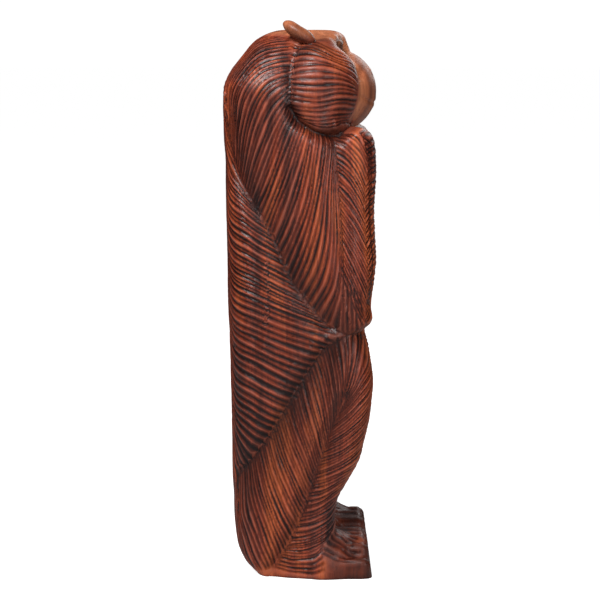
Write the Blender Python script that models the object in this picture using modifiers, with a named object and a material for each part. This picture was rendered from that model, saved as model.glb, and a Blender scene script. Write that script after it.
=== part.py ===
"""Carved wooden monkey: an ape that squats with its chin on its fists, cut from one upright log.

The figure faces -Y and stands on its flat underside at z = 0. It is worked out in log units, a frame
in which the log is 150 wide, 138 deep and 500 high, and the driving sizes below scale that frame.
"""
import math

import bmesh
import bpy
import numpy as np
from mathutils import Matrix
from mathutils.kdtree import KDTree

# Driving sizes, in metres.
HEIGHT = 0.500            # underside to ear tips
WIDTH = 0.150             # across the arms and knees
DEPTH = 0.138             # muzzle and toes to back
LOCK_PITCH = 0.0170       # from one carved lock of fur to the next
LOCK_DEPTH = 0.0030       # how deep the grooves between locks are cut
ROUGH_CELL = 0.0070       # cell size of the roughed-out block
CARVED_CELL = 0.0024      # cell size of the carved surface before it is thinned out
TRIANGLES = 9400          # facets that the finished solid is thinned to

OBJECT_NAME = "carved_monkey"
COLLECTION_NAME = "wooden monkey sculpture"

# The frame of log units.
LOG_WIDTH = 150.0
LOG_DEPTH = 138.0
LOG_HEIGHT = 500.0
UNIT = HEIGHT / LOG_HEIGHT
FLAT_TOLERANCE = 0.6      # points this close to the underside belong to it
SAW_MARGIN = 14.0         # how far the rough block runs on below the underside, before it is sawn off

# Side profile: height, half width, front of the arms and legs, front of the body behind them, back.
PROFILE = (
    (-20.0, 70.0, -31.0, -16.0, 30.0),
    (0.0, 71.0, -32.0, -16.0, 41.6),
    (10.0, 72.0, -32.5, -16.0, 50.8),
    (20.0, 72.5, -33.0, -16.0, 56.3),
    (40.0, 73.0, -33.0, -18.0, 60.0),
    (58.0, 73.5, -33.2, -21.0, 61.0),
    (68.0, 73.5, -34.9, -23.0, 61.0),
    (87.0, 74.0, -44.8, -28.0, 62.2),
    (106.0, 74.0, -54.8, -33.0, 62.4),
    (125.0, 74.5, -59.6, -38.0, 62.4),
    (143.0, 75.0, -63.6, -42.0, 62.7),
    (162.0, 75.0, -65.8, -45.0, 62.9),
    (180.0, 75.0, -67.2, -47.0, 63.3),
    (199.0, 75.0, -65.6, -49.0, 63.5),
    (212.0, 75.0, -64.0, -50.0, 64.0),
    (219.0, 74.6, -62.6, -50.0, 64.0),
    (226.5, 74.3, -60.8, -50.0, 64.2),
    (231.5, 74.6, -65.4, -50.0, 64.6),
    (236.0, 74.8, -66.6, -50.0, 64.8),
    (246.0, 74.8, -65.2, -50.0, 65.2),
    (272.0, 74.6, -67.4, -50.0, 65.4),
    (290.0, 74.6, -68.8, -50.0, 65.4),
    (310.0, 74.6, -67.8, -50.0, 65.8),
    (335.0, 74.6, -66.8, -50.0, 66.2),
    (362.0, 74.6, -68.2, -50.0, 66.4),
    (380.0, 74.6, -68.0, -49.0, 66.4),
    (396.0, 74.4, -66.0, -47.0, 67.6),
    (404.0, 74.2, -63.0, -45.0, 67.8),
    (409.0, 74.0, -57.5, -44.0, 67.9),
    (413.0, 73.8, -49.0, -43.0, 68.0),
    (430.0, 73.0, -46.0, -41.0, 68.3),
    (445.0, 71.0, -46.0, -41.0, 67.0),
    (457.0, 66.0, -46.0, -41.0, 61.0),
    (466.0, 60.0, -46.0, -40.5, 54.0),
    (473.0, 53.0, -46.0, -40.0, 48.4),
    (480.0, 43.0, -46.0, -38.5, 42.4),
    (485.0, 33.0, -46.0, -36.0, 36.0),
    (489.0, 22.0, -46.0, -33.0, 27.5),
    (496.0, 10.0, -46.0, -24.0, 8.0),
)
PROFILE_TOP = 491.6       # the crown is flat here
CROWN_SOFT = 4.0
SQUARENESS_LOW = 4.2      # how square the log is in plan, low and at the head
SQUARENESS_HEAD = 2.9
HEAD_STARTS, HEAD_WHOLE = 425.0, 465.0
COLUMN_FILLET = 8.0       # where the arm and leg columns meet the body
SIDE_STARTS, SIDE_WHOLE = 36.0, 60.0      # the side carving runs out towards the front and back

# Main masses of the head, arms and feet on the half at +X: middle and half sizes.
RUFF = ((35.5, -15.5, 441.0), (38.5, 37.0, 41.5))
MUZZLE = ((0.0, -34.0, 438.5), (42.0, 35.0, 35.0))
EYE_SOCKET = ((20.5, -39.5, 477.8), (10.5, 9.0, 6.6))
EYEBALL = ((20.0, -32.0, 477.6), (7.6, 6.6, 5.8))
NOSTRIL = ((6.5, -64.0, 452.5), (3.4, 6.0, 2.4))
CHEEK_PIT = ((28.5, -53.0, 453.0), (4.0, 6.0, 5.0))
EAR = ((44.5, 0.4, 489.4), (9.5, 15.8, 6.2))
EAR_TILT, EAR_YAW = 32.0, 8.0
EAR_HOLLOW = ((42.0, -4.0, 494.5), (6.0, 9.0, 4.0))
FIST = ((13.0, -45.0, 374.0), (21.0, 23.0, 31.0))
INSTEP = ((43.0, -22.0, 2.0), (31.0, 36.0, 37.0))
FUR_BETWEEN_FEET = ((0.0, -12.0, 0.0), (22.0, 34.0, 44.0))

# Bars through the head and the wrist on the half at +X: points and thicknesses.
BROW = ((0, -32.5, 483.8), (14, -34, 484.8), (27, -30.5, 483.6), (38, -23.5, 479), (45, -17, 471))
BROW_THICKNESS = (6.4, 5.4, 5.2, 5.2, 5.0)
BRIDGE = ((0, -35.5, 482.0), (0, -38.5, 473.5))
BRIDGE_THICKNESS = (6.6, 7.0)
MOUTH = ((0, -69, 428), (14, -67, 427), (27, -61, 430), (37, -50, 437))
NOSE_FOLD = ((9, -63, 462), (20, -58.5, 458.5), (29, -53, 453), (36, -49, 441))
WRIST = ((40.0, -46.0, 383.0), (22.0, -48.0, 374.0))


# Shapes, each as a distance that is negative inside.
def smooth_curve(at, knots, values):
    """Values along a smooth curve through the knots; the values may be numbers or points."""
    slopes = np.gradient(values, knots, axis=0)
    at = np.clip(at, knots[0], knots[-1])
    index = np.clip(np.searchsorted(knots, at) - 1, 0, len(knots) - 2)
    span = knots[index + 1] - knots[index]
    t = (at - knots[index]) / span
    if values.ndim > 1:
        span, t = span[:, None], t[:, None]
    low = values[index] * (1 + 2 * t) * (1 - t) ** 2 + slopes[index] * span * t * (1 - t) ** 2
    high = values[index + 1] * t * t * (3 - 2 * t) - slopes[index + 1] * span * t * t * (1 - t)
    return low + high


def smooth_table(at, table, column):
    """Read one column of a table at the given heights, as a smooth curve through its rows."""
    rows = np.array(table)
    return smooth_curve(at, rows[:, 0], rows[:, column])


def ramp(value, low, high):
    """Smooth step from 0 at low to 1 at high."""
    t = np.clip((value - low) / (high - low), 0.0, 1.0)
    return t * t * (3.0 - 2.0 * t)


def blend(a, b, soft):
    """Union of two shapes with a fillet of about the given size."""
    h = np.clip(0.5 + 0.5 * (b - a) / soft, 0.0, 1.0)
    return b + (a - b) * h - soft * h * (1.0 - h)


def cut(a, b, soft):
    """Shape a with shape b taken out, with a soft edge."""
    return -blend(-a, b, soft)


def ellipsoid(p, centre, radii):
    q = (p - np.array(centre)) / np.array(radii)
    near = np.linalg.norm(q, axis=1)
    steep = np.linalg.norm(q / np.array(radii), axis=1)
    return near * (near - 1.0) / np.maximum(steep, 1e-6)


def turned_ellipsoid(p, centre, radii, tilt, yaw):
    """Ellipsoid whose long axis is tipped up about X by tilt degrees, then turned about Z by yaw."""
    q = p - np.array(centre)
    c, s = math.cos(math.radians(yaw)), math.sin(math.radians(yaw))
    q = np.column_stack((c * q[:, 0] + s * q[:, 1], -s * q[:, 0] + c * q[:, 1], q[:, 2]))
    c, s = math.cos(math.radians(tilt)), math.sin(math.radians(tilt))
    q = np.column_stack((q[:, 0], c * q[:, 1] + s * q[:, 2], -s * q[:, 1] + c * q[:, 2]))
    return ellipsoid(q, (0.0, 0.0, 0.0), radii)


def limb(p, start, end, start_radius, end_radius):
    """Round bar from start to end, thicker at one end."""
    a, b = np.array(start, float), np.array(end, float)
    along = b - a
    t = np.clip((p - a) @ along / (along @ along), 0.0, 1.0)
    return np.linalg.norm(p - a - t[:, None] * along, axis=1) - (start_radius + (end_radius - start_radius) * t)


def chain(p, points, radii, soft):
    """Limbs end to end through a list of points."""
    shape = limb(p, points[0], points[1], radii[0], radii[1])
    for i in range(1, len(points) - 1):
        shape = blend(shape, limb(p, points[i], points[i + 1], radii[i], radii[i + 1]), soft)
    return shape


def side_distance(p, path):
    """Distance in the side view from a path of (y, z) points, and which side of the path a point is on."""
    q = p[:, 1:3]
    nearest = np.full(len(p), 1e9)
    sign = np.ones(len(p))
    for a, b in zip(path[:-1], path[1:]):
        a, b = np.array(a, float), np.array(b, float)
        along = b - a
        t = np.clip((q - a) @ along / (along @ along), 0.0, 1.0)
        away = q - a - t[:, None] * along
        distance = np.hypot(away[:, 0], away[:, 1])
        closer = distance < nearest
        nearest = np.where(closer, distance, nearest)
        turn = along[0] * away[:, 1] - along[1] * away[:, 0]
        sign = np.where(closer, np.sign(turn), sign)
    return nearest, sign


# Seams of the side carving, as (y, z) in the side view. Going along a seam, its left side comes first.
ARM_BACK = (
    (63, 412), (62, 402), (55.5, 376), (48, 358), (33, 332), (19, 306), (9, 279), (-9, 253), (-26, 233), (-42, 226))
THIGH_TOP = ((56, 88), (34, 119), (13, 153), (0, 176), (-22, 210), (-42, 224), (-58, 227), (-74, 227))
FOREARM = ((-31, 402), (-32, 374), (-35, 348), (-36, 328), (-35, 302), (-37, 267), (-41, 252), (-46, 235))
CALF = ((-39, 168), (-30, 147), (-24, 130), (-18, 106), (-7, 77), (1, 52), (12, 29), (24, 8))
JAW = ((2, 478), (6, 466), (8, 449), (8.5, 432), (8, 424), (0, 412.5))
UNDER_RUFF = ((8, 424), (0, 412.5), (-13, 404), (-24, 400.5), (-35, 400), (-46, 410))


def valley(p, path, depth, left_width, right_width, floor_width=1.5):
    """Depth of a carved valley along a seam, with its own run-out on each side."""
    distance, sign = side_distance(p, path)
    width = np.where(sign > 0, left_width, right_width)
    return depth * np.exp(-(np.maximum(distance - floor_width, 0.0) / width) ** 1.3)


def side_relief(p):
    """How deep the flat sides of the log are carved at each point."""
    depth = valley(p, ARM_BACK, 5.5, 8.0, 24.0)
    depth = np.maximum(depth, valley(p, THIGH_TOP, 5.5, 24.0, 8.0))
    depth = np.maximum(depth, valley(p, FOREARM, 2.6, 8.0, 6.0))
    depth = np.maximum(depth, valley(p, CALF, 3.6, 8.0, 10.0))
    return depth


def log_shape(p):
    """The carved log with back, head and body, and the arms and legs as columns in front."""
    z = p[:, 2]
    half = smooth_table(z, PROFILE, 1)
    front = smooth_table(z, PROFILE, 3)
    back = smooth_table(z, PROFILE, 4)
    middle = 0.5 * (front + back)
    reach = 0.5 * (back - front)
    head = ramp(z, HEAD_STARTS, HEAD_WHOLE)
    power = SQUARENESS_LOW + (SQUARENESS_HEAD - SQUARENESS_LOW) * head
    u = np.abs(p[:, 0]) / half
    v = np.abs(p[:, 1] - middle) / reach
    ring = (u ** power + v ** power) ** (1.0 / power)
    shape = (ring - 1.0) * np.minimum(half, reach)
    shape = cut(shape, PROFILE_TOP - z, CROWN_SOFT)
    shape = blend(shape, limb_column(p), COLUMN_FILLET)
    return shape + side_relief(p) * ramp(p[:, 0], SIDE_STARTS, SIDE_WHOLE)


def limb_column(p):
    """Forearm above and shin below, as one round column that follows the front of the side profile."""
    z = p[:, 2]
    thick = 21.0 + 4.5 * ramp(z, 50.0, 120.0) - 2.0 * ramp(z, 290.0, 400.0)
    across = 47.0 + 2.5 * ramp(z, 120.0, 180.0) - 5.0 * ramp(z, 250.0, 400.0)
    middle = smooth_table(z, PROFILE, 2) + thick
    column = np.hypot(p[:, 0] - across, p[:, 1] - middle) - thick
    return cut(column, 407.0 - z, 12.0)


def dent(p, centre, radii, depth):
    """Soft hollow of the given depth around a centre, or a soft swelling where the depth is negative."""
    q = (p - np.array(centre)) / np.array(radii)
    return depth * np.exp(-(q * q).sum(axis=1))


def line_cut(p, points, width, depth):
    """Depth of a carved line through a few points."""
    distance = chain(p, points, [0.0] * len(points), 0.5)
    return depth * np.exp(-(distance / width) ** 2)


def head_shape(p, body):
    """Cheek ruffs, muzzle, brow and nose added to the body."""
    body = blend(body, ellipsoid(p, *RUFF), 4.0)
    ruff_edge = np.maximum(valley(p, JAW, 2.4, 5.0, 5.0, 0.8), valley(p, UNDER_RUFF, 5.0, 5.0, 5.0, 0.8))
    body = body + ruff_edge * ramp(p[:, 0], 42.0, 62.0)
    body = blend(body, ellipsoid(p, *MUZZLE), 5.0)
    body = blend(body, chain(p, BROW, BROW_THICKNESS, 4.0), 6.0)
    return blend(body, limb(p, *BRIDGE, *BRIDGE_THICKNESS), 3.0)


def face_relief(p):
    """How deep the eyes, nose and mouth are cut into the face."""
    depth = dent(p, *EYE_SOCKET, 7.0)
    depth = depth + line_cut(p, MOUTH, 2.2, 2.6)
    depth = depth + line_cut(p, NOSE_FOLD, 2.8, 2.2)
    depth = depth + dent(p, *NOSTRIL, 4.0)
    return depth + dent(p, *CHEEK_PIT, 2.6)


def ear_shape(p):
    ear = turned_ellipsoid(p, *EAR, EAR_TILT, EAR_YAW)
    return ear + dent(p, *EAR_HOLLOW, 2.4)


# Across the fist: height of the gaps between fingers, from the thumb down.
FINGER_GAPS = (392.0, 379.0, 366.0, 353.5)
FINGER_TILT = 0.10        # the fingers rise a little towards the wrists


def hand_shape(p):
    """Fist under the chin with its wrist, as a plain mass."""
    wrist = limb(p, *WRIST, 20.0, 19.0)
    return blend(wrist, ellipsoid(p, *FIST), 8.0)


def finger_relief(p):
    """How deep the fists are cut: between fingers, between the hands, at the knuckles and at the cuffs."""
    near = ramp(-p[:, 1], 46.0, 56.0) * ramp(p[:, 2], 336.0, 344.0) * (1.0 - ramp(p[:, 2], 404.0, 410.0))
    depth = np.zeros(len(p))
    for gap in FINGER_GAPS:
        away = p[:, 2] - gap - FINGER_TILT * p[:, 0]
        depth = depth + 3.6 * np.exp(-(away / 1.9) ** 2) * (1.0 - ramp(p[:, 0], 22.0, 30.0))
    depth = depth + 5.0 * np.exp(-(p[:, 0] / 2.0) ** 2)
    depth = depth + 1.6 * np.exp(-((p[:, 0] - 15.5) / 1.8) ** 2) * (p[:, 2] < 392.0)
    return depth * near


# The front of the foot: top over the inner toes and over the little toe, and where across it falls off.
TOE_TOP, LITTLE_TOE_TOP = 31.0, 16.0
FOOT_FALLS = (46.0, 72.0)
FOOT_ACROSS = (15.5, 65.5)                # its straight part
FOOT_ALONG = (-20.0, -58.9)
FOOT_ROUNDING = 7.5
TOE_GAPS = (60.5, 48.6, 36.8, 24.6)       # across, between the toes, from the little toe in


def foot_shape(p):
    """Foot as a wedge that is flush with the front of the log, and falls off towards the little toe."""
    instep = ellipsoid(p, *INSTEP)
    top = TOE_TOP - (TOE_TOP - LITTLE_TOE_TOP) * ramp(p[:, 0], *FOOT_FALLS)
    q = p.copy()
    q[:, 0] -= np.clip(p[:, 0], *FOOT_ACROSS)
    q[:, 1] -= np.clip(p[:, 1], *FOOT_ALONG[::-1])
    q[:, 2] = np.maximum(p[:, 2] - top + FOOT_ROUNDING, 0.0)
    ball = np.linalg.norm(q, axis=1) - FOOT_ROUNDING
    return blend(instep, ball, 7.0)


def toe_relief(p):
    """How deep the gaps between the toes are cut."""
    ahead = ramp(-p[:, 1], 43.0, 53.0) * (1.0 - ramp(p[:, 2], 34.0, 40.0))
    depth = np.zeros(len(p))
    for gap in TOE_GAPS:
        bend = 0.12 * (p[:, 1] + 66.0)
        depth = depth + 4.2 * np.exp(-((p[:, 0] - gap - bend) / 2.0) ** 2)
    return depth * ahead


def form(points):
    """The whole figure as a distance, both halves alike."""
    p = points.copy()
    p[:, 0] = np.abs(p[:, 0])
    body = log_shape(p)
    body = blend(body, hand_shape(p), 3.0) + finger_relief(p)
    body = head_shape(p, body) + face_relief(p)
    body = blend(body, ellipsoid(p, *EYEBALL), 1.6)
    body = blend(body, ear_shape(p), 1.6)
    body = blend(body, ellipsoid(p, *FUR_BETWEEN_FEET), 8.0)
    body = blend(body, foot_shape(p), 3.0) + toe_relief(p)
    return cut(body, p[:, 2] + SAW_MARGIN, 1.0)


def slope(points, step=0.4):
    """Gradient of the form at each point."""
    result = np.zeros_like(points)
    for axis in range(3):
        shift = np.zeros(3)
        shift[axis] = step
        result[:, axis] = (form(points + shift) - form(points - shift)) / (2 * step)
    return result


def settle(points, rounds, longest_step):
    """Move points along the slope until they lie on the surface of the form."""
    for _ in range(rounds):
        gradient = slope(points)
        steep = np.maximum((gradient ** 2).sum(axis=1), 0.04)
        move = -(form(points) / steep)[:, None] * gradient
        size = np.linalg.norm(move, axis=1)
        move *= np.minimum(1.0, longest_step / np.maximum(size, 1e-9))[:, None]
        points = points + move
    return points


# Locks of fur: combs of lines between guides that are drawn near the surface, on the half at +X.
VIEW_DISTANCE = 90.0      # well outside the log


def on_side(y, z):
    return (VIEW_DISTANCE, y, z)


def on_back(x, z):
    return (x, VIEW_DISTANCE, z)


def on_front(x, z):
    return (x, -VIEW_DISTANCE, z)


# Each comb is a list of guides from one edge to the other; all guides of a comb have as many points.
COMBS = {
    "cape": (
        (on_back(2, 486), on_back(3, 474), on_back(4, 462), on_back(4, 453)),
        (on_back(22, 484), on_back(26, 466), on_back(30, 448), on_back(31, 434)),
        (on_side(14, 484), on_side(36, 477), on_side(56, 452), on_side(64, 412)),
        (on_side(12, 471), on_side(34, 466), on_side(54, 438), on_side(59, 396)),
        (on_side(10, 458), on_side(30, 453), on_side(48, 424), on_side(52, 376)),
        (on_side(10, 446), on_side(27, 430), on_side(40, 392), on_side(42, 354)),
        (on_side(10, 432), on_side(20, 412), on_side(30, 374), on_side(33, 338)),
        (on_side(4, 414), on_side(10, 388), on_side(19, 350), on_side(23, 318)),
        (on_side(-6, 406), on_side(1, 376), on_side(9, 334), on_side(13, 298)),
        (on_side(-16, 402), on_side(-12, 362), on_side(-4, 318), on_side(6, 282)),
        (on_side(-24, 400), on_side(-24, 354), on_side(-20, 306), on_side(-6, 262)),
        (on_side(-30, 396), on_side(-31, 344), on_side(-31, 292), on_side(-18, 248)),
        (on_side(-32, 384), on_side(-35, 330), on_side(-37, 282), on_side(-32, 240)),
    ),
    "back": (
        (on_back(1, 446), on_back(28, 428), on_back(52, 408), on_side(61, 396), on_side(57, 386)),
        (on_back(1, 420), on_back(32, 398), on_side(63, 374), on_side(57, 360), on_side(49, 347)),
        (on_back(1, 392), on_back(34, 370), on_side(63, 346), on_side(49, 335), on_side(31, 318)),
        (on_back(1, 364), on_back(34, 344), on_side(63, 322), on_side(44, 310), on_side(18, 290)),
        (on_back(1, 336), on_back(34, 318), on_side(63, 298), on_side(38, 285), on_side(4, 259)),
        (on_back(1, 306), on_back(34, 289), on_side(62, 270), on_side(34, 258), on_side(-14, 229)),
        (on_back(1, 278), on_back(34, 261), on_side(62, 243), on_side(32, 228), on_side(-12, 208)),
        (on_back(1, 250), on_back(34, 233), on_side(61, 215), on_side(36, 202), on_side(6, 184)),
        (on_back(1, 222), on_back(34, 204), on_side(60, 186), on_side(39, 174), on_side(18, 158)),
        (on_back(1, 194), on_back(34, 176), on_side(60, 158), on_side(45, 147), on_side(31, 136)),
        (on_back(1, 168), on_back(34, 150), on_side(58, 131), on_side(52, 119), on_side(47, 107)),
    ),
    "rump": (
        (on_back(1, 156), on_back(1, 100), on_back(1, 50), on_back(1, 2)),
        (on_back(22, 146), on_back(24, 96), on_back(24, 48), on_back(20, 4)),
        (on_back(42, 134), on_back(46, 92), on_back(46, 46), on_side(45, 6)),
        (on_side(56, 106), on_side(56, 76), on_side(52, 42), on_side(41, 12)),
    ),
    "thigh": (
        (on_side(55, 94), on_side(54, 68), on_side(48, 38), on_side(38, 10)),
        (on_side(47, 101), on_side(41, 74), on_side(31, 42), on_side(22, 16)),
        (on_side(38, 116), on_side(30, 90), on_side(18, 60), on_side(7, 40)),
        (on_side(27, 136), on_side(17, 110), on_side(6, 84), on_side(-4, 64)),
        (on_side(13, 157), on_side(4, 130), on_side(-5, 108), on_side(-13, 90)),
        (on_side(1, 176), on_side(-6, 153), on_side(-13, 130), on_side(-18, 110)),
        (on_side(-11, 194), on_side(-18, 168), on_side(-23, 148), on_side(-25, 130)),
        (on_side(-22, 209), on_side(-28, 184), on_side(-31, 164), on_side(-30, 146)),
        (on_side(-33, 219), on_side(-36, 196), on_side(-38, 180), on_side(-37, 164)),
    ),
    "shin": (
        (on_front(47, 223), on_side(-56, 220), on_side(-49, 200), on_side(-41, 172)),
        (on_front(47, 205), on_side(-63, 198), on_side(-53, 178), on_side(-37, 160)),
        (on_front(47, 184), on_side(-63, 174), on_side(-50, 160), on_side(-31, 146)),
        (on_front(47, 160), on_side(-61, 152), on_side(-46, 140), on_side(-26, 130)),
        (on_front(47, 138), on_side(-56, 130), on_side(-40, 121), on_side(-20, 112)),
        (on_front(47, 118), on_side(-46, 110), on_side(-32, 104), on_side(-14, 98)),
        (on_front(47, 98), on_side(-37, 92), on_side(-25, 86), on_side(-9, 82)),
        (on_front(47, 80), on_side(-30, 70), on_side(-18, 64), on_side(-2, 60)),
        (on_side(-29, 57), on_side(-22, 50), on_side(-10, 43), on_side(5, 42)),
        (on_side(-21, 37), on_side(-15, 32), on_side(-3, 27), on_side(12, 27)),
        (on_side(-19, 18), on_side(-13, 16), on_side(1, 14), on_side(18, 15)),
        (on_side(-19, 5), on_side(-12, 5), on_side(3, 6), on_side(22, 7)),
    ),
    "inner shin": (
        (on_front(45, 222), on_front(34, 216), on_front(24, 204)),
        (on_front(45, 190), on_front(32, 180), on_front(20, 164)),
        (on_front(45, 150), on_front(32, 140), on_front(20, 124)),
        (on_front(45, 110), on_front(32, 100), on_front(20, 86)),
        (on_front(45, 82), on_front(33, 72), on_front(22, 60)),
    ),
    "lap": (
        (on_front(1, 226), on_front(1, 160), on_front(1, 100), on_front(1, 44)),
        (on_front(17, 222), on_front(16, 160), on_front(15, 100), on_front(14, 44)),
    ),
    "between feet": (
        (on_front(1, 40), on_front(1, 22), on_front(1, 3)),
        (on_front(8, 38), on_front(7, 22), on_front(6, 3)),
    ),
    "cheek": (
        (on_side(4, 474), on_side(-14, 475), on_side(-30, 468), on_front(39, 468)),
        (on_side(7, 464), on_side(-14, 467), on_side(-36, 462), on_front(42, 460)),
        (on_side(8, 453), on_side(-15, 456), on_side(-40, 452), on_front(44, 450)),
        (on_side(9, 441), on_side(-18, 443), on_side(-42, 443), on_front(45, 440)),
        (on_side(8, 430), on_side(-20, 430), on_side(-43, 433), on_front(44, 429)),
        (on_side(5, 421), on_side(-21, 418), on_side(-41, 422), on_front(42, 419)),
        (on_side(-4, 412), on_side(-22, 408), on_side(-39, 412), on_front(38, 411)),
    ),
    "forearm": (
        (on_side(-36, 404), on_side(-45, 402), on_side(-53, 396), on_side(-60, 384)),
        (on_side(-33, 392), on_side(-42, 387), on_side(-51, 376), on_side(-58, 360)),
        (on_side(-34, 374), on_side(-42, 368), on_side(-50, 357), on_side(-57, 342)),
        (on_side(-36, 348), on_side(-43, 340), on_side(-51, 328), on_side(-59, 312)),
        (on_side(-37, 312), on_side(-43, 300), on_side(-51, 284), on_side(-60, 262)),
        (on_side(-38, 278), on_side(-43, 266), on_side(-48, 252), on_side(-56, 234)),
    ),
    "forearm front": (
        (on_front(48, 404), on_front(62, 401), on_side(-63, 392), on_side(-60, 378)),
        (on_front(48, 384), on_front(62, 378), on_side(-64, 370), on_side(-59, 358)),
        (on_front(48, 356), on_front(62, 350), on_side(-63, 341), on_side(-58, 330)),
        (on_front(48, 326), on_front(62, 318), on_side(-64, 309), on_side(-60, 296)),
        (on_front(48, 294), on_front(62, 286), on_side(-65, 276), on_side(-61, 262)),
        (on_front(48, 262), on_front(62, 254), on_side(-64, 246), on_side(-60, 236)),
    ),
    "inner forearm": (
        (on_front(46, 402), on_front(37, 396), on_front(30, 386)),
        (on_front(46, 370), on_front(36, 360), on_front(27, 348)),
        (on_front(46, 330), on_front(34, 320), on_front(22, 304)),
        (on_front(46, 290), on_front(34, 278), on_front(23, 262)),
        (on_front(46, 256), on_front(35, 246), on_front(26, 236)),
    ),
    "chest": (
        (on_front(1, 342), on_front(1, 300), on_front(1, 262), on_front(1, 230)),
        (on_front(15, 330), on_front(17, 300), on_front(18, 262), on_front(19, 230)),
    ),
}
LINE_STEP = 1.2           # spacing of the points along a line of fur
CARVING_PASSES = 4        # how often the depths of the carving are evened out
END_TAPER = 10.0          # length over which a groove runs out at each end


def cast(points):
    """Bring points that were given on a side, back or front view in to the first surface they meet."""
    start = np.array(points, float)
    axis = np.argmax(np.abs(start) == VIEW_DISTANCE, axis=1)
    rows = np.arange(len(start))
    side = np.sign(start[rows, axis])
    landed = start.copy()
    landed[rows, axis] = 0.0
    met = np.zeros(len(start), bool)
    for distance in np.arange(VIEW_DISTANCE, 0.0, -1.0):
        trial = start.copy()
        trial[rows, axis] = side * distance
        inside = (form(trial) < 0.0) & ~met
        landed[inside] = trial[inside]
        met |= inside
    return landed


def lengths_along(points):
    """Distance of each point of a line from its start."""
    return np.concatenate(([0.0], np.cumsum(np.linalg.norm(np.diff(points, axis=0), axis=1))))


def smooth_path(points, step):
    """Evenly spaced points along a smooth curve through a few points."""
    lengths = lengths_along(points)
    count = max(int(lengths[-1] / step), 3)
    return smooth_curve(np.linspace(0.0, lengths[-1], count), lengths, points)


def comb_lines(guides, pitch):
    """Lines that fill a comb at about the given pitch, as lists of points on the surface."""
    shape = np.array([cast(guide) for guide in guides])
    gaps = np.linalg.norm(np.diff(shape, axis=0), axis=2).mean(axis=1)
    edges = np.concatenate(([0.0], np.cumsum(gaps)))
    count = max(int(round(edges[-1] / pitch)), 1)
    lines = []
    for at in np.linspace(0.0, edges[-1], count + 1):
        index = min(int(np.searchsorted(edges, at, side="right")) - 1, len(guides) - 2)
        t = (at - edges[index]) / (edges[index + 1] - edges[index])
        lines.append(smooth_path(shape[index] * (1 - t) + shape[index + 1] * t, LINE_STEP))
    return lines


def groove_points(pitch, taper):
    """All points of the grooves between locks, with how fully each is cut."""
    points, strength = [], []
    for guides in COMBS.values():
        for line in comb_lines(guides, pitch):
            along = lengths_along(line)
            ends = np.minimum(along, along[-1] - along) / taper
            points.append(line)
            strength.append(np.clip(0.35 + 0.65 * ends, 0.0, 1.0))
    points = settle(np.concatenate(points), 3, 3.0)
    return points, np.concatenate(strength)


def groove_depth(points, pitch, depth):
    """Depth of the carving at each point: a sharp groove, and a round lock on each side of it."""
    lines, strength = groove_points(pitch, END_TAPER)
    tree = KDTree(len(lines))
    for index, place in enumerate(lines):
        tree.insert(place, index)
    tree.balance()
    result = np.zeros(len(points))
    half = 0.5 * pitch
    for i, place in enumerate(points):
        mirrored = (abs(place[0]), place[1], place[2])
        _, index, distance = tree.find(mirrored)
        if distance < half:
            result[i] = depth * strength[index] * 0.5 * (1.0 + math.cos(math.pi * distance / half))
    return result


# Blender objects.
def even_out(mesh, values, rounds):
    """Average a value over neighbouring vertices, so that meeting combs run into each other softly."""
    ends = np.empty(len(mesh.edges) * 2, dtype=np.int64)
    mesh.edges.foreach_get("vertices", ends)
    ends = ends.reshape(-1, 2)
    count = np.bincount(ends.ravel(), minlength=len(values)).astype(float)
    for _ in range(rounds):
        total = np.bincount(ends[:, 0], weights=values[ends[:, 1]], minlength=len(values))
        total += np.bincount(ends[:, 1], weights=values[ends[:, 0]], minlength=len(values))
        values = 0.5 * values + 0.5 * total / np.maximum(count, 1.0)
    return values


def clear_scene():
    for item in list(bpy.data.objects):
        bpy.data.objects.remove(item, do_unlink=True)


def get_points(mesh):
    flat = np.empty(len(mesh.vertices) * 3)
    mesh.vertices.foreach_get("co", flat)
    return flat.reshape(-1, 3)


def set_points(mesh, points):
    mesh.vertices.foreach_set("co", points.ravel())
    mesh.update()


def apply_modifier(item, kind, **settings):
    """Add one modifier to an object and make its result the object's mesh."""
    modifier = item.modifiers.new(kind.title(), kind)
    for name, value in settings.items():
        setattr(modifier, name, value)
    graph = bpy.context.evaluated_depsgraph_get()
    mesh = bpy.data.meshes.new_from_object(item.evaluated_get(graph))
    item.modifiers.clear()
    old = item.data
    item.data = mesh
    bpy.data.meshes.remove(old)


def rough_block(collection):
    """The squared log with its ears and toes left on, in log units."""
    mesh = bpy.data.meshes.new(OBJECT_NAME)
    item = bpy.data.objects.new(OBJECT_NAME, mesh)
    collection.objects.link(item)
    block = bmesh.new()
    low = -SAW_MARGIN
    high = PROFILE_TOP - 8.0
    matrix = place_box((0.0, 0.0, 0.5 * (low + high)), (LOG_WIDTH - 4.0, LOG_DEPTH - 4.0, high - low))
    bmesh.ops.create_cube(block, size=1.0, matrix=matrix)
    for side in (-1, 1):
        matrix = place_box((side * 44.0, 0.3, 488.0), (24.0, 34.0, 26.0))
        bmesh.ops.create_uvsphere(block, u_segments=16, v_segments=10, radius=0.5, matrix=matrix)
    block.to_mesh(mesh)
    block.free()
    return item


def place_box(centre, size):
    """Matrix that scales a unit shape to a size and moves it to a centre."""
    return Matrix.Translation(centre) @ Matrix.Diagonal((*size, 1.0))


def saw_underside(item):
    """Cut the block off flat at z = 0."""
    shape = bmesh.new()
    shape.from_mesh(item.data)
    everything = shape.verts[:] + shape.edges[:] + shape.faces[:]
    bmesh.ops.bisect_plane(shape, geom=everything, plane_co=(0, 0, 0), plane_no=(0, 0, -1), clear_outer=True)
    rim = [edge for edge in shape.edges if edge.is_boundary]
    filled = bmesh.ops.contextual_create(shape, geom=rim)
    bmesh.ops.triangulate(shape, faces=filled["faces"])
    shape.to_mesh(item.data)
    shape.free()


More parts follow.
